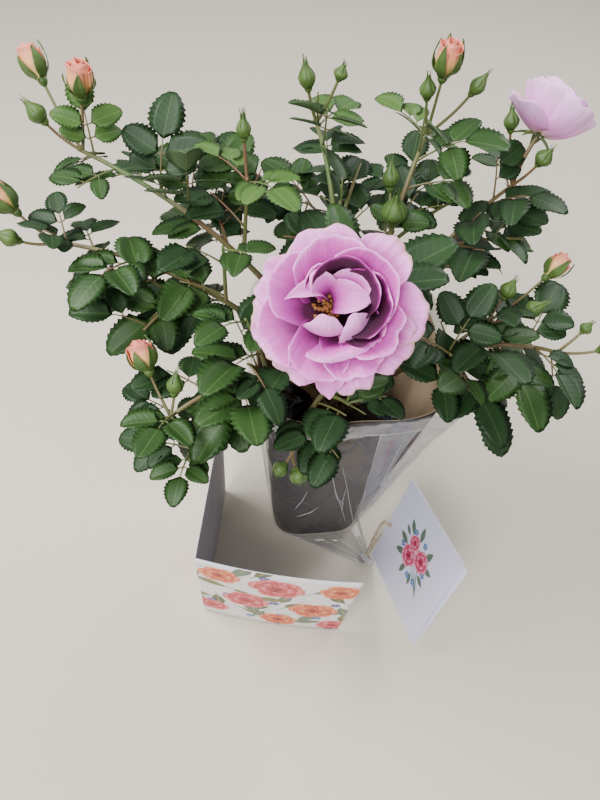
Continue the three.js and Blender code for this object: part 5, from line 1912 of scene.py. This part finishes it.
# A petal of the heart that folds over. It is laid along stops of right, up, rise and half width, as seen
# from in front, with its sides square to its turn, bowed by cup and crimped towards a rounded rim.
def folded_grid(turn, cup, crimp, stops, draw, rows=26, columns=21):
    stops = np.array(stops, dtype=float)
    fine = smooth_route(stops[:, :3], FOLD_STEPS)
    halves = np.interp(np.linspace(0, 1, FOLD_STEPS), np.linspace(0, 1, len(stops)), stops[:, 3])
    across = np.array([-math.sin(math.radians(turn)), math.cos(math.radians(turn)), 0])
    normals = np.cross(np.gradient(fine, axis=0), across)
    normals /= np.linalg.norm(normals, axis=1, keepdims=True)
    v = np.linspace(0, 1, rows)[:, None]
    u = np.linspace(1, -1, columns)[None, :]
    rim = 1 - 0.4 * np.abs(u) ** 2.1 + 0.02 * np.sin(2.7 * math.pi * u + draw.uniform(0, 6))
    marks = np.clip(v * rim, 0, 1) * (FOLD_STEPS - 1)
    low = np.minimum(np.floor(marks).astype(int), FOLD_STEPS - 2)
    part = (marks - low)[..., None]
    middle = fine[low] * (1 - part) + fine[low + 1] * part
    normal = normals[low] * (1 - part) + normals[low + 1] * part
    half = halves[low] * (1 - part[..., 0]) + halves[low + 1] * part[..., 0]
    wave = np.sin(draw.uniform(1.2, 2.2) * math.pi * u + draw.uniform(0, 6))
    bow = cup * half * (u ** 2 - 0.3) + crimp * v ** 3 * (wave + 0.3 * np.sin(6.5 * math.pi * u))
    return middle + across * (u * half)[..., None] + normal * bow[..., None]


folded_petals = [
    (10, 0.25, 0.6, [(-4, 4, 2, 4), (-3, 6, 16, 8), (2, 8, 26, 11), (12, 8, 30, 12), (24, 6, 28, 9)]),
    (118, 0.2, 0.6, [(-4, 5, 2, 4), (-6, 10, 16, 6), (-8, 15, 27, 8), (-11, 20, 31, 10), (-14, 26, 29, 8)]),
    (62, 0.2, 0.7, [(-1, 5, 2, 4), (5, 11, 16, 9), (10, 16, 27, 13), (14, 20, 32, 14), (17, 26, 30, 12)]),
    (200, 0.2, 0.5, [
        (-5, 6, 2, 3), (-8, 11, 17, 5), (-13, 15, 25, 7), (-23, 12, 28, 5.5), (-34, 7, 26, 1.5),
    ]),
    (-98, 0.3, 0.6, [
        (-6, -1, 2, 5), (-8, -9, 10, 10), (-8, -16, 19, 14), (-7, -11, 27, 16), (-6, -3, 29, 14),
    ]),
    (-52, 0.3, 0.8, [
        (0, -1, 2, 5), (9, -10, 10, 10), (14, -16, 19, 13), (12, -11, 28, 15), (10, -3, 31, 13),
    ]),
    (-70, 0.2, 1.4, [
        (2, -12, 4, 8), (5, -20, 16, 18), (7, -23, 25, 27), (9, -27, 29, 30), (11, -32, 27, 28),
    ]),
    (-40, 0.2, 1.2, [
        (6, -10, 4, 5), (14, -16, 16, 9), (19, -19, 25, 10), (24, -20, 27, 9), (28, -23, 25, 7),
    ]),
    (-112, 0.2, 1.4, [
        (-6, -14, 3, 6), (-12, -26, 10, 12), (-17, -35, 16, 16), (-21, -43, 17, 16), (-24, -50, 14, 12),
    ]),
    (-84, 0.25, 1.0, [
        (0, -18, 3, 6), (0, -32, 12, 10), (-3, -42, 17, 12), (-5, -52, 17, 11), (-6, -60, 13, 7),
    ]),
]
folded_meshes = []
for fold in folded_petals:
    grid = folded_grid(*fold, draw)
    folded_meshes.append(set_sheet(grid, PETAL_THICKNESS, open_axes, heart_place(open_bloom)))
make_piece("rose_open_folds", folded_meshes, [folded_petal, petal_back, folded_petal])
set_bloom(open_bloom, open_petals, open_axes, petal_back, draw)
set_calyx(open_bloom, open_axes, draw)
stamens = stamen_spots(open_bloom, open_axes, draw)
set_forms("stamens", [stamen_form()], stamens, stamen_thread, anther)


# Second rose: half open, seen from its side, a deep cup of paler petals with a ruffled rim, their paleness
# partly painted light. Each of its rings has its count of petals, then their reach, width, start, end, crimp
# and lift.
side_bloom = BLOOMS[1]
side_bloom["piece"] = "rose_half_open"
side_bloom["heart"] = -13
side_axes = axes_along(side_bloom["look"], 0.4)
# Its petal backs are paler than the open rose's, partly their own colour and partly painted light, brightened
# where they face away from the lamps.
pale_back = petal_finish("pale petal back", [
    (0.1, (0.9, 0.6, 0.5)), (0.3, (0.97, 0.34, 0.8)), (0.6, (0.98, 0.44, 0.9)), (0.9, (0.99, 0.6, 0.97)),
], 0.6)
side_petals = []
for ring, (count, reach, width, start, end, crimp, lift) in enumerate((
    (5, 45, 58, 6, 66, 0.9, 0), (5, 44, 54, 10, 76, 1.0, 1), (5, 41, 46, 16, 84, 1.0, 2),
    (5, 37, 36, 50, 96, 1.1, 3), (4, 31, 26, 66, 108, 1.1, 4),
)):
    for k in range(count):
        turn = 360 * (k + 0.5 * (ring % 2)) / count + draw.uniform(-12, 12)
        petal = (turn, reach * draw.uniform(0.92, 1.05), width, start, end, 0.2, crimp)
        side_petals.append((petal, ring, lift))
side_petals += [((turn, 41, 48, 4, end, 0.15, 1.2), 0, -1) for turn, end in ((-20, 24), (-70, 34))]
set_bloom(side_bloom, side_petals, side_axes, pale_back, draw)
set_calyx(side_bloom, side_axes, draw)
